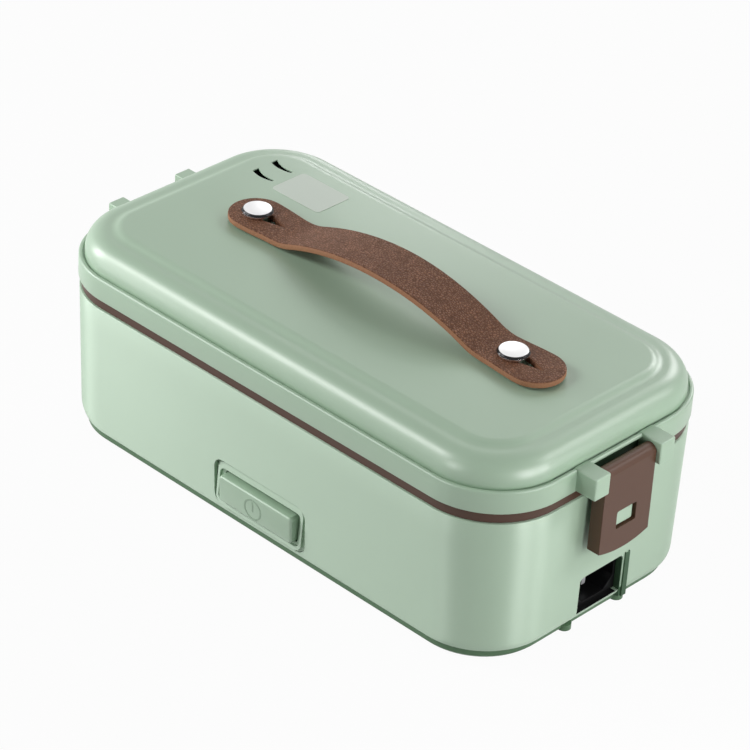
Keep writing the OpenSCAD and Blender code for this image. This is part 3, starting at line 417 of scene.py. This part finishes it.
SLOT_FINISH = {
    "green_plastic": wall_green,
    "brown_plastic": brown,
    "strap_leather": strap_face,
    "polished_steel": chrome,
    "steel_sheet": steel,
    "aluminium_part": alloy,
    "black_plastic": black,
    "foot_rubber": rubber,
    "seal_rubber": seal,
    "board_laminate": board,
    "lamp_resin": lamp,
    "wire_sleeve": wire_sleeve,
}


# ---- mesh helpers ----


# Part of a face's normal along an axis, above which the face counts as square to that axis
SQUARE = 0.9


def finish_mesh(obj, material, angle=32):
    """Smooth shading with sharp edges above the angle, and one material."""
    obj.data.materials.clear()
    obj.data.materials.append(material)
    obj.data.shade_smooth()
    obj.data.set_sharp_from_angle(angle=math.radians(angle))


def mesh_object(name, verts, faces):
    """A new object from vertices in millimetres, with its faces turned outwards."""
    data = bpy.data.meshes.new(name)
    data.from_pydata([Vector(v) * MM for v in verts], [], faces)
    data.update()
    obj = bpy.data.objects.new(name, data)
    bpy.context.scene.collection.objects.link(obj)
    mesh = bmesh.new()
    mesh.from_mesh(data)
    bmesh.ops.recalc_face_normals(mesh, faces=mesh.faces)
    mesh.to_mesh(data)
    mesh.free()
    return obj


def arc(cx, cz, radius, start, end, steps=ARC_STEPS):
    """Points on an arc in the section plane."""
    angles = [math.radians(start + (end - start) * k / steps) for k in range(steps + 1)]
    return [(cx + radius * math.cos(a), cz + radius * math.sin(a)) for a in angles]


def disc(cx, cz, radius, steps):
    """Points once round a circle."""
    return arc(cx, cz, radius, 0, 360, steps)[:-1]


def box(low_u, high_u, low_v, high_v):
    """Outline of a rectangle with sharp corners."""
    return [(low_u, low_v), (high_u, low_v), (high_u, high_v), (low_u, high_v)]


def rounded_box(cx, cy, w, h, r, steps=6):
    """Outline of a rectangle with round corners."""
    points = []
    for sx, sy, turn in ((1, 1, 0), (-1, 1, 90), (-1, -1, 180), (1, -1, 270)):
        points += arc(cx + sx * (w / 2 - r), cy + sy * (h / 2 - r), r, turn, turn + 90, steps)
    return points


def ring(half_l, half_w, radius, z):
    """One level closed loop of points round a rounded rectangle."""
    return [(x, y, z) for x, y in rounded_box(0, 0, 2 * half_l, 2 * half_w, radius, ARC_STEPS)]


def mirrored(side, near, far):
    """Two distances from the middle, on the side -1 or 1, the lower one first."""
    return sorted((side * near, side * far))


def loft(name, rings, capped=False, closed=False):
    """Skin through loops that have the same number of points; capped at its ends, or closed on itself."""
    count = len(rings[0])
    verts = [p for loop in rings for p in loop]
    faces = []
    spans = len(rings) if closed else len(rings) - 1
    for i in range(spans):
        a = i * count
        b = (i + 1) % len(rings) * count
        for k in range(count):
            n = (k + 1) % count
            faces.append((a + k, a + n, b + n, b + k))
    if capped:
        faces.append(tuple(reversed(range(count))))
        faces.append(tuple(range((len(rings) - 1) * count, len(rings) * count)))
    return mesh_object(name, verts, faces)


def prism(name, outline, low, high, axis):
    """A closed prism over an outline; axis is the direction it is pushed along."""
    place = {
        "X": lambda u, v, w: (w, u, v),
        "Y": lambda u, v, w: (u, w, v),
        "Z": lambda u, v, w: (u, v, w),
    }[axis]
    count = len(outline)
    verts = [place(u, v, w) for w in (low, high) for u, v in outline]
    faces = [(k, (k + 1) % count, count + (k + 1) % count, count + k) for k in range(count)]
    faces += [tuple(range(count)), tuple(reversed(range(count, 2 * count)))]
    return mesh_object(name, verts, faces)


def lathe(name, profile, x, y, steps=64):
    """Turns an open profile of (radius, z) round a vertical axis."""
    turns = [2 * math.pi * k / steps for k in range(steps)]
    rings = [[(x + r * math.cos(a), y + r * math.sin(a), z) for a in turns] for r, z in profile]
    return loft(name, rings, capped=True)


def apply_modifiers(obj):
    """Bakes an object's modifiers into its mesh."""
    evaluated = obj.evaluated_get(bpy.context.evaluated_depsgraph_get())
    baked = bpy.data.meshes.new_from_object(evaluated)
    obj.modifiers.clear()
    obj.data = baked


def bevel(obj, width, segments, angle=30):
    """Rounds every edge that is sharper than the angle."""
    modifier = obj.modifiers.new("bevel", "BEVEL")
    modifier.width = width * MM
    modifier.segments = segments
    modifier.limit_method = "ANGLE"
    modifier.angle_limit = math.radians(angle)
    apply_modifiers(obj)


def flatten_shading(obj):
    """Keeps large flat faces evenly shaded beside their rounded edges."""
    obj.modifiers.new("normals", "WEIGHTED_NORMAL").keep_sharp = True
    apply_modifiers(obj)


def cut(obj, tools, operation="DIFFERENCE"):
    """Cuts the tools out of the object, or joins them to it, and deletes them."""
    for tool in tools:
        modifier = obj.modifiers.new("cut", "BOOLEAN")
        modifier.operation = operation
        modifier.solver = "EXACT"
        modifier.object = tool
    apply_modifiers(obj)
    for tool in tools:
        bpy.data.objects.remove(tool)


# ---- CAD nodes that are shown as they are ----

for entry in frame["record"]["subparts"]:
    finish_mesh(frame["nodes"][entry["node"]], SLOT_FINISH[entry["material_slot"]])
finish_mesh(frame["nodes"]["trim_ring"], ring_brown)
# The base cover is painted darker as shade under the body
finish_mesh(frame["nodes"]["base_cover"], plinth_painted_shade)
finish_mesh(frame["nodes"]["socket_pins"], alloy)


# ---- lid ----


def lid_profile():
    """Section of the lid's skin as (inset, z): down its inside from the panel, then up its outside."""
    foot = CREST_INSET + TROUGH_W
    shoulder_z = CREST_Z - SHOULDER_R
    inside = [(foot + PANEL_BLEND, PANEL_Z - LID_WALL), (CREST_INSET, CREST_Z - LID_WALL)]
    inside += arc(CREST_INSET, shoulder_z, SHOULDER_R - LID_WALL, 90, 180, 8)
    inside += [(DOME_INSET + LID_WALL, LEDGE_Z - LID_WALL), (LID_WALL, LEDGE_Z - LID_WALL)]
    inside.append((LID_WALL, SKIRT_Z))
    outside = [(SKIRT_EDGE, SKIRT_Z), (0.1, SKIRT_Z + 0.1), (0, SKIRT_Z + SKIRT_EDGE)]
    outside += arc(LEDGE_R, LEDGE_Z - LEDGE_R, LEDGE_R, 180, 90, 6)
    outside += [(GROOVE_INSET - 0.15, LEDGE_Z), (GROOVE_INSET, LEDGE_Z - 0.15)]
    outside += [(GROOVE_INSET + 0.05, LEDGE_Z - GROOVE_D), (DOME_INSET - 0.05, LEDGE_Z - GROOVE_D)]
    outside += [(DOME_INSET, LEDGE_Z - GROOVE_D + 0.2)]
    outside += arc(CREST_INSET, shoulder_z, SHOULDER_R, 180, 90)
    # The step up to the panel is two equal arcs that meet half way
    half_w = PANEL_BLEND / 2
    half_h = PANEL_STEP / 2
    step_r = (half_w**2 + half_h**2) / (2 * half_h)
    swing = math.degrees(math.asin(half_w / step_r))
    outside += arc(foot, CREST_Z + step_r, step_r, 270, 270 + swing, 6)
    outside += arc(foot + PANEL_BLEND, PANEL_Z - step_r, step_r, 90 + swing, 90, 6)[1:]
    return inside + outside


def vent_outline(y):
    """Horn-shaped steam slot: its near edge is an arc and it grows wider towards the far left end."""
    half = math.degrees(math.asin(VENT_L / 2 / VENT_BOW))
    near_edge = arc(VENT_X, y + VENT_BOW, VENT_BOW, 270 - half, 270 + half, 12)
    far_edge = []
    for px, py in reversed(near_edge):
        along = (VENT_X + VENT_L / 2 - px) / VENT_L
        far_edge.append((px, py + VENT_TIP + (VENT_W - VENT_TIP) * along))
    return near_edge + far_edge


def make_lid():
    """The lid's skin with its steam slots, and a notch for each latch whose back face is painted dark as
    shade.
    """
    loops = [ring(BODY_L / 2 - i, BODY_W / 2 - i, CORNER_R - i, z) for i, z in lid_profile()]
    lid = loft("lid_skin", loops, capped=True)
    notch_x = BODY_L / 2 - NOTCH_D
    tools = []
    for side in (-1, 1):
        near, far = mirrored(side, notch_x, BODY_L / 2 + 2)
        outline = rounded_box((near + far) / 2, 0, far - near, 2 * EAR_Y, NOTCH_R)
        tools.append(prism("notch", outline, NOTCH_LOW, NOTCH_TOP, "Z"))
    for y in VENT_YS:
        tools.append(prism("vent", vent_outline(y), PANEL_Z - VENT_CUT, PANEL_Z + PAST, "Z"))
    cut(lid, tools)
    finish_mesh(lid, lid_green)
    lid.data.materials.append(painted_shade_green)
    # The notch's back face is painted dark green as the shade above each latch
    for polygon in lid.data.polygons:
        on_painted_notch_shade = abs(abs(polygon.center.x) / MM - notch_x) < 0.05
        polygon.material_index = 1 if on_painted_notch_shade and abs(polygon.normal.x) > SQUARE else 0
    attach(lid, "lid")
    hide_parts("lid_shell")


def make_vent_shade_sheet():
    """Matt black sheet just below the lid's surface in each steam slot, painted dark as the shade inside
    the slot.
    """
    top = PANEL_Z - SHADE_SHEET_SINK
    for y in VENT_YS:
        shade_sheet = prism("vent_shade_sheet", vent_outline(y), top - SHADE_SHEET_T, top, "Z")
        finish_mesh(shade_sheet, shade)
        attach(shade_sheet, "lid")


def make_ears():
    """The four ears that carry the latch pins, with soft edges."""
    for end in (-1, 1):
        for side in (-1, 1):
            near, far = mirrored(end, EAR_ROOT, EAR_X)
            inner, outer = mirrored(side, EAR_INNER, EAR_Y + EAR_W)
            ear = prism("ear", box(near, far, EAR_LOW, EAR_HIGH), inner, outer, "Y")
            bevel(ear, EAR_EDGE, 4)
            finish_mesh(ear, lid_green)
            flatten_shading(ear)
            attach(ear, "lid")


def make_pads():
    """Low round pads under the strap's ends."""
    top = PANEL_Z + PAD_H
    profile = [(PAD_R, PANEL_Z - 0.5), (PAD_R, PANEL_Z), (PAD_R - 0.3, top - 0.2), (PAD_R - 0.6, top)]
    for x in (-STUD_X, STUD_X):
        pad = lathe("pad", profile, x, 0)
        finish_mesh(pad, lid_green)
        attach(pad, "lid")


make_lid()
make_vent_shade_sheet()
make_ears()
make_pads()


# ---- shell ----


def taper(z, foot_inset):
    """How far a wall stands in at height z, from its inset at the foot."""
    return TOP_INSET + (foot_inset - TOP_INSET) * (SHELL_TOP - z) / (SHELL_TOP - SHELL_LOW)


def end_wall_x(z):
    """Distance of the end wall from the middle at height z."""
    return BODY_L / 2 - taper(z, END_INSET)


def side_wall_y(z):
    """Distance of a long side's wall from the middle at height z."""
    return BODY_W / 2 - taper(z, SIDE_INSET)


def shell_ring(z, back=0.0):
    """Outline of the tapered shell at height z, cut back by a distance; its ends turn in at the foot."""
    fall = min(1, max(0, (SHELL_LOW + END_CURL_H - z) / END_CURL_H))
    curl = END_CURL * (1 - math.sqrt(1 - fall**2))
    side = taper(z, SIDE_INSET) + back
    return ring(end_wall_x(z) - curl - back, BODY_W / 2 - side, CORNER_R - side, z)


def shell_loops():
    """Loops of the shell's skin: round the foot's edge, up the outside, over the rim and down inside."""
    loops = [shell_ring(SHELL_LOW, SHELL_WALL)]
    for back, rise in arc(SHELL_EDGE, SHELL_EDGE, SHELL_EDGE, 270, 180, 5):
        loops.append(shell_ring(SHELL_LOW + rise, back))
    curl_rise = END_CURL_H - SHELL_EDGE
    loops += [shell_ring(SHELL_LOW + SHELL_EDGE + curl_rise * k / 6) for k in range(1, 7)]
    loops += [shell_ring(SHELL_LOW + (SHELL_TOP - SHELL_LOW) * k / 6) for k in range(1, 6)]
    loops += [shell_ring(SHELL_TOP - 0.4), shell_ring(SHELL_TOP - 0.12, 0.1), shell_ring(SHELL_TOP, 0.4)]
    loops += [shell_ring(SHELL_TOP, SHELL_WALL), shell_ring(SHELL_LOW + END_CURL_H, SHELL_WALL)]
    return loops


def inlet_outline(grow):
    """Inlet opening in (y, z): round corners above, square below."""
    w = INLET_W / 2 + grow
    h = INLET_H / 2 + grow
    corner_z = INLET_Z + h - INLET_R
    outline = arc(w - INLET_R, corner_z, INLET_R, 0, 90, 6)
    outline += arc(INLET_R - w, corner_z, INLET_R, 90, 180, 6)
    return outline + [(-w, INLET_Z - h), (w, INLET_Z - h)]


def catch_parts(end):
    """Sloped catch block on an end wall, and the pad on it that fills the latch's window."""
    root = end * CATCH_ROOT
    face = end * CATCH_X
    low = WINDOW_Z - CATCH_H / 2
    high = WINDOW_Z + CATCH_H / 2
    slope = [(root, low), (face, low + CATCH_SLOPE_LOW), (face, high - CATCH_SLOPE_HIGH), (root, high)]
    block = prism("catch", slope, -CATCH_W / 2, CATCH_W / 2, "Y")
    near, far = mirrored(end, CATCH_X - PAST, CATCH_X + CATCH_PAD)
    pad_w = WINDOW_W - 2 * PAD_SIDE_GAP
    pad_front = rounded_box(0, WINDOW_Z, pad_w, WINDOW_H - 2 * PAD_END_GAP, CATCH_PAD_R)
    return [block, prism("catch_pad", pad_front, near, far, "X")]


def make_shell():
    """The shell with its inlet, the fin beside it, the catch blocks and the hole for the button's bezel."""
    shell = loft("shell_skin", shell_loops(), closed=True)
    wall_x = end_wall_x(INLET_Z)
    joined = [
        prism("frame", inlet_outline(INLET_FRAME), wall_x - INLET_RECESS, wall_x - INLET_FRAME_SINK, "X"),
        prism("fin", box(*FIN_Y, *FIN_Z), wall_x - PAST, wall_x + FIN_PROUD, "X"),
    ]
    joined += catch_parts(-1) + catch_parts(1)
    cut(shell, joined, "UNION")
    groove = box(*GROOVE_Y, INLET_Z - INLET_H / 2 - 2, FIN_Z[1])
    hole = rounded_box(0, BEZEL_Z, BEZEL_W + 2 * BEZEL_GAP, BEZEL_H + 2 * BEZEL_GAP, BEZEL_HOLE_R)
    tools = [
        prism("inlet", inlet_outline(0), wall_x - 5, wall_x + 5, "X"),
        prism("groove", groove, wall_x - GROOVE_SINK, wall_x + 3, "X"),
        prism("bezel_hole", hole, *BEZEL_HOLE_Y, "Y"),
    ]
    cut(shell, tools)
    finish_mesh(shell, wall_green)
    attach(shell, "base")
    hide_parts("outer_shell")


def make_inlet_lining():
    """Thin black lining on the floor and the left side of the inlet's recess."""
    wall_x = end_wall_x(INLET_Z)
    left = -INLET_W / 2 + LINING_GAP
    right = INLET_W / 2 - 2
    floor = INLET_Z - INLET_H / 2 + LINING_GAP
    top = INLET_Z + INLET_H / 2 - 2.2
    outline = [(left, floor), (right, floor), (right, floor + LINING_T)]
    outline += [(left + LINING_T, floor + LINING_T), (left + LINING_T, top), (left, top)]
    lining = prism("inlet_lining", outline, wall_x - INLET_RECESS + 0.05, wall_x - LINING_SINK, "X")
    finish_mesh(lining, black)
    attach(lining, "base")


def make_inlet_rail():
    """Dark green sheet at the inlet's right side, and the upright rail beside it, both painted dark as the
    shade in and beside the recess.
    """
    wall_x = end_wall_x(INLET_Z)
    side_outline = box(*SIDE_Y, RAIL_LOW, SIDE_TOP)
    side = prism("inlet_side", side_outline, wall_x - SIDE_ROOT, wall_x - SIDE_SINK, "X")
    rail_outline = box(*RAIL_Y, RAIL_LOW, RAIL_TOP)
    rail = prism("inlet_strip", rail_outline, wall_x - RAIL_ROOT, wall_x + RAIL_PROUD, "X")
    for piece in (side, rail):
        finish_mesh(piece, painted_shade_green)
        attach(piece, "base")


make_shell()
make_inlet_lining()
make_inlet_rail()


# ---- latches ----


def latch_front():
    """Front outline of a latch in (y, z): straight sides and a bowed lower edge."""
    half = LATCH_W / 2
    bow_r = (half**2 + LATCH_BOW**2) / (2 * LATCH_BOW)
    swing = math.degrees(math.asin(half / bow_r))
    outline = arc(0, LATCH_BOTTOM - LATCH_BOW + bow_r, bow_r, 270 - swing, 270 + swing, 20)
    return outline + [(half, HINGE_Z), (-half, HINGE_Z)]


def make_latch(name, body, end):
    """Plate with a window, side flanges and a rounded top round the pin."""
    half = LATCH_W / 2
    back, face = mirrored(end, LATCH_X - LATCH_T, LATCH_X)
    latch = prism(name + "_skin", latch_front(), back, face, "X")
    joined = [prism("top", disc(end * TOP_X, TOP_Z, TOP_R, 40), -half, half, "Y")]
    near, far = mirrored(end, LATCH_X - FLANGE_D, LATCH_X - PAST)
    for side in (-1, 1):
        inner, outer = mirrored(side, half - FLANGE_T, half)
        joined.append(prism("flange", box(near, far, LATCH_BOTTOM, HINGE_Z), inner, outer, "Y"))
    cut(latch, joined, "UNION")
    opening = rounded_box(0, WINDOW_Z, WINDOW_W, WINDOW_H, WINDOW_R)
    bore = disc(end * HINGE_X, HINGE_Z, PIN_BORE_R, 24)
    tools = [
        prism("window", opening, back - PAST, face + PAST, "X"),
        prism("pin_bore", bore, -half - PAST, half + PAST, "Y"),
    ]
    cut(latch, tools)
    bevel(latch, LATCH_EDGE, 3, 50)
    finish_mesh(latch, brown)
    flatten_shading(latch)
    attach(latch, body)
    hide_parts(name)


make_latch("latch_near", "near_latch", 1)
make_latch("latch_far", "far_latch", -1)


# ---- power button and the sign on it ----


def lean_with_wall(obj, proud=0.0):
    """Moves a piece that was made at y = 0 to the near long wall, so that it leans as the wall does."""
    for vert in obj.data.vertices:
        vert.co.y -= (side_wall_y(vert.co.z / MM) + proud) * MM


def make_power_sign():
    """Power sign on the button's face: a circle with a small gap and a bar, darker than the face."""
    start = 90 + SIGN_GAP / 2
    end = 450 - SIGN_GAP / 2
    inner_r = SIGN_R - SIGN_T
    outline = arc(SIGN_X, SIGN_Z, SIGN_R, start, end, 40) + arc(SIGN_X, SIGN_Z, inner_r, end, start, 40)
    circle = prism("sign_circle", outline, -SIGN_RISE, SIGN_SINK, "Y")
    middle = (SIGN_BAR_LOW + SIGN_BAR_TOP) / 2
    stroke = rounded_box(SIGN_X, middle, SIGN_T, SIGN_BAR_TOP - SIGN_BAR_LOW, 0.2, 2)
    bar = prism("sign_bar", stroke, -SIGN_RISE, SIGN_SINK, "Y")
    for piece in (circle, bar):
        lean_with_wall(piece, BUTTON_PROUD)
        finish_mesh(piece, sign_green)
        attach(piece, "button")


def make_button():
    """Long power button with a soft front edge; its face leans with the wall."""
    outline = rounded_box(0, BUTTON_Z, BUTTON_W, BUTTON_H, BUTTON_R)
    button = prism("button_skin", outline, -BUTTON_PROUD, BUTTON_DEPTH, "Y")
    bevel(button, BUTTON_EDGE, 4)
    lean_with_wall(button)
    finish_mesh(button, lid_green)
    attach(button, "button")
    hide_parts("power_button")


make_power_sign()
make_button()


# ---- strap and studs ----


# How little of a face's normal points up or down where the strap's cut edge shows, and where the rim
# of a stud's head begins
EDGE_TILT = 0.62
RIM_TILT = 0.3


def strap_half_width(x):
    """Half the strap's width at distance x from its middle; it is narrowest at a neck near each end."""
    u = abs(x) / STRAP_HALF
    if u < STRAP_NECK_AT:
        swell = (1 + math.cos(math.pi * u / STRAP_NECK_AT)) / 2
        return STRAP_NECK_R + (STRAP_MIDDLE_R - STRAP_NECK_R) * swell
    swell = (1 - math.cos(math.pi * (u - STRAP_NECK_AT) / (1 - STRAP_NECK_AT))) / 2
    return STRAP_NECK_R + (STRAP_END_R - STRAP_NECK_R) * swell


def strap_rise(x):
    """Height and slope of the strap's middle surface above its flat ends, at distance x from its middle."""
    mid_r = ARCH_R - STRAP_T / 2
    bend_r = BEND_R + STRAP_T / 2
    reach = math.sqrt((mid_r + bend_r) ** 2 - (mid_r - ARCH_H + bend_r) ** 2)
    turn = reach * mid_r / (mid_r + bend_r)
    u = abs(x)
    if u >= reach:
        return 0.0, 0.0
    if u >= turn:
        slope = -math.asin((reach - u) / bend_r) * math.copysign(1, x)
        return bend_r - math.sqrt(bend_r**2 - (reach - u) ** 2), slope
    return ARCH_H - mid_r + math.sqrt(mid_r**2 - u**2), -math.asin(x / mid_r)


def strap_outline():
    """Outline of the flat strap: two waisted sides and two round ends."""
    stations = [STRAP_HALF * k / 24 for k in range(-24, 25)]
    outline = [(x, strap_half_width(x)) for x in reversed(stations)]
    outline += arc(-STRAP_HALF, 0, STRAP_END_R, 90, 270, 24)[1:-1]
    outline += [(x, -strap_half_width(x)) for x in stations]
    outline += arc(STRAP_HALF, 0, STRAP_END_R, -90, 90, 24)[1:-1]
    return outline


def slot_outline(x0):
    """Slot for a stud: round, then straight, then narrowed to a point."""
    r = SLOT_W / 2
    return arc(x0, 0, r, 90, 270, 10) + [(x0 + SLOT_TRAVEL, -r), (x0 + SLOT_TIP, 0), (x0 + SLOT_TRAVEL, r)]


def add_loop(curve, points):
    """Adds a closed outline or hole to a flat curve."""
    spline = curve.splines.new("POLY")
    spline.points.add(len(points) - 1)
    for target, (x, y) in zip(spline.points, points):
        target.co = (x * MM, y * MM, 0, 1)
    spline.use_cyclic_u = True


def flat_strap():
    """Mesh of the strap before it is bent: a flat band with round edges and a slot near each end."""
    curve = bpy.data.curves.new("strap", "CURVE")
    curve.dimensions = "2D"
    curve.fill_mode = "BOTH"
    curve.extrude = (STRAP_T / 2 - STRAP_EDGE) * MM
    curve.bevel_depth = STRAP_EDGE * MM
    curve.bevel_resolution = 2
    curve.offset = -STRAP_EDGE * MM
    add_loop(curve, strap_outline())
    for x in (-STUD_X, STUD_X):
        add_loop(curve, slot_outline(x - STRAP_SHIFT))
    temp = bpy.data.objects.new("strap_curve", curve)
    bpy.context.scene.collection.objects.link(temp)
    data = bpy.data.meshes.new_from_object(temp.evaluated_get(bpy.context.evaluated_depsgraph_get()))
    bpy.data.objects.remove(temp)
    return data


def bend_strap(data):
    """Cuts the flat band into short lengths and bends them over the arch."""
    mesh = bmesh.new()
    mesh.from_mesh(data)
    bmesh.ops.remove_doubles(mesh, verts=mesh.verts, dist=0.01 * MM)
    for k in range(1 - STRAP_CUTS, STRAP_CUTS):
        plane = Vector((k * STRAP_HALF / STRAP_CUTS * MM, 0, 0))
        geometry = mesh.verts[:] + mesh.edges[:] + mesh.faces[:]
        bmesh.ops.bisect_plane(mesh, geom=geometry, plane_co=plane, plane_no=(1, 0, 0), dist=1e-7)
    for vert in mesh.verts:
        x = vert.co.x / MM
        height = vert.co.z / MM
        rise, slope = strap_rise(x)
        vert.co.x = (x - height * math.sin(slope) + STRAP_SHIFT) * MM
        vert.co.z = (STRAP_Z + STRAP_T / 2 + rise + height * math.cos(slope)) * MM
    mesh.to_mesh(data)
    mesh.free()


def make_strap():
    """Leather strap with a lighter cut edge; the cut sides of its slots get the darker face leather as
    painted shade.
    """
    data = flat_strap()
    bend_strap(data)
    strap = bpy.data.objects.new("strap_skin", data)
    bpy.context.scene.collection.objects.link(strap)
    finish_mesh(strap, strap_face, 50)
    data.materials.append(strap_edge)
    for polygon in data.polygons:
        x = polygon.center.x / MM
        y = polygon.center.y / MM
        # Slot sides keep the darker face leather as painted shade inside the slots
        in_slot_shade = abs(y) < 3 and abs(x - STRAP_SHIFT) < STRAP_HALF
        polygon.material_index = 1 if abs(polygon.normal.z) < EDGE_TILT and not in_slot_shade else 0
    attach(strap, "strap")
    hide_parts("handle_strap")


def stud_profile():
    """Section of a stud as (radius, z): a shank and a flat head with a rounded rim."""
    rim = [(0.3, 0), (0.08, 0.08), (0, 0.3), (0, 0.85), (0.1, 1.05), (0.55, 1.62), (0.75, 1.75)]
    rim.append((1, STUD_HEAD_H))
    shank = [(STUD_SHANK_R, STUD_SHANK_LOW), (STUD_SHANK_R, STUD_HEAD_Z)]
    return shank + [(STUD_HEAD_R - inset, STUD_HEAD_Z + rise) for inset, rise in rim]


def make_studs():
    """The two polished studs: their flat faces painted bright and their bevelled rims painted dark, as
    painted reflection.
    """
    face_z = STUD_HEAD_Z + STUD_HEAD_H - 0.1
    for x in (-STUD_X, STUD_X):
        stud = lathe("stud", stud_profile(), x, 0)
        finish_mesh(stud, chrome, 25)
        stud.data.materials.append(stud_painted_highlight)
        stud.data.materials.append(stud_painted_dark_reflection)
        # Faces that point up are painted as a bright reflection, tilted ones as a dark reflection
        for polygon in stud.data.polygons:
            if polygon.normal.z > SQUARE and polygon.center.z > face_z * MM:
                polygon.material_index = 1
            elif RIM_TILT < polygon.normal.z <= SQUARE:
                polygon.material_index = 2
        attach(stud, "lid")
        if x > 0:
            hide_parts("strap_studs")


make_strap()
make_studs()


# ---- label ----


def make_label():
    """Blank information plate on the lid."""
    outline = rounded_box(LABEL_X, LABEL_Y, LABEL_L, LABEL_W, LABEL_R)
    label = prism("label", outline, PANEL_Z, PANEL_Z + LABEL_T, "Z")
    finish_mesh(label, label_stock())
    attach(label, "lid")


make_label()


# ---- camera, light and floor, in metres ----

# Camera fitted to the photograph: its place, and the directions of its right, up and back
CAMERA_PLACE = (0.76512, -0.84026, 0.77582)
CAMERA_RIGHT = (0.71385, 0.69811, 0.05539)
CAMERA_UP = (-0.41023, 0.35275, 0.841)
CAMERA_BACK = (0.56757, -0.62307, 0.53819)
CAMERA_LENS = 168.52

# Lamp sizes, how far lamps stand, and what they face
WIDE = (0.4, 0.4)
UPRIGHT = (0.15, 0.5)
SMALL = (0.1, 0.18)
LAMP_DISTANCE = 1.2
BODY_MIDDLE = (0, 0, 0.05)
LEFT_END = (-0.09, -0.05, 0.04)
NEAR_CORNER = (0.1, -0.05, 0.04)

FLOOR_HALF = 3.0
FLOOR_GLOW = 0.96
FLOOR_COLOR = (0.5, 0.5, 0.5, 1)

scene = bpy.context.scene
scene.view_settings.view_transform = "Standard"


def make_camera():
    """The photograph's camera."""
    data = bpy.data.cameras.new("camera")
    data.lens = CAMERA_LENS
    data.clip_start = 0.05
    data.clip_end = 20
    camera = bpy.data.objects.new("camera", data)
    turn = Matrix((CAMERA_RIGHT, CAMERA_UP, CAMERA_BACK)).transposed().to_4x4()
    camera.matrix_world = Matrix.Translation(CAMERA_PLACE) @ turn
    scene.collection.objects.link(camera)
    scene.camera = camera


def seen_directly(tree):
    """1 where the camera, a reflection or a clear part looks, and 0 where light is gathered."""
    path = tree.nodes.new("ShaderNodeLightPath")
    total = path.outputs["Is Camera Ray"]
    for ray in ("Is Glossy Ray", "Is Transmission Ray"):
        either = tree.nodes.new("ShaderNodeMath")
        either.operation = "MAXIMUM"
        tree.links.new(total, either.inputs[0])
        tree.links.new(path.outputs[ray], either.inputs[1])
        total = either.outputs[0]
    return total


def make_world():
    """White where it is seen, and dark as a light, so that the lamps alone light the object."""
    world = bpy.data.worlds.new("studio")
    scene.world = world
    world.use_nodes = True
    tree = world.node_tree
    tree.nodes.clear()
    background = tree.nodes.new("ShaderNodeBackground")
    background.inputs["Color"].default_value = (1, 1, 1, 1)
    output = tree.nodes.new("ShaderNodeOutputWorld")
    tree.links.new(seen_directly(tree), background.inputs["Strength"])
    tree.links.new(background.outputs["Background"], output.inputs["Surface"])


def make_floor():
    """Pale floor that is nearly white where it is seen and keeps the object's shadow."""
    corners = [(x, y, 0) for x, y in box(-FLOOR_HALF, FLOOR_HALF, -FLOOR_HALF, FLOOR_HALF)]
    data = bpy.data.meshes.new("floor")
    data.from_pydata(corners, [], [(0, 1, 2, 3)])
    floor = bpy.data.objects.new("floor", data)
    scene.collection.objects.link(floor)
    finish = Finish("floor", FLOOR_COLOR, 0.7, Specular_IOR_Level=0.0)
    glow = finish.add("ShaderNodeEmission", Strength=1.0)
    share = finish.add("ShaderNodeMath", operation="MULTIPLY")
    share.inputs[1].default_value = FLOOR_GLOW
    mix = finish.add("ShaderNodeMixShader")
    finish.link(seen_directly(finish.tree), share.inputs[0])
    finish.link(share.outputs[0], mix.inputs[0])
    finish.link(finish.shader.outputs[0], mix.inputs[1])
    finish.link(glow.outputs[0], mix.inputs[2])
    finish.link(mix.outputs[0], finish.tree.nodes["Material Output"].inputs["Surface"])
    data.materials.append(finish.material)


def softbox(name, azimuth, elevation, size, power, distance=LAMP_DISTANCE, aim=BODY_MIDDLE):
    """A rectangular lamp that faces a point; azimuth is turned from +X towards +Y."""
    a = math.radians(azimuth)
    e = math.radians(elevation)
    toward = Vector((math.cos(e) * math.cos(a), math.cos(e) * math.sin(a), math.sin(e)))
    data = bpy.data.lights.new(name, "AREA")
    data.shape = "RECTANGLE"
    data.size, data.size_y = size
    data.energy = power
    light = bpy.data.objects.new(name, data)
    light.location = Vector(aim) + distance * toward
    light.rotation_euler = (-toward).to_track_quat("-Z", "Y").to_euler()
    scene.collection.objects.link(light)


make_camera()
make_world()
make_floor()
softbox("left_upright", 205, 18, UPRIGHT, 5.6)
softbox("left_high", 227, 38, WIDE, 4.9)
softbox("front_upright", 262, 18, UPRIGHT, 2.5)
softbox("left_band", 229, 14, SMALL, 0.16, 0.26, LEFT_END)
softbox("corner_close", 0, 16, SMALL, 0.5, 0.35, NEAR_CORNER)
softbox("end_close", 25, 16, SMALL, 0.34, 0.35, NEAR_CORNER)
softbox("right_high", 45, 35, WIDE, 2.2)
softbox("back", 98, 30, WIDE, 3.7)
softbox("back_upright", 130, 18, UPRIGHT, 1.0)
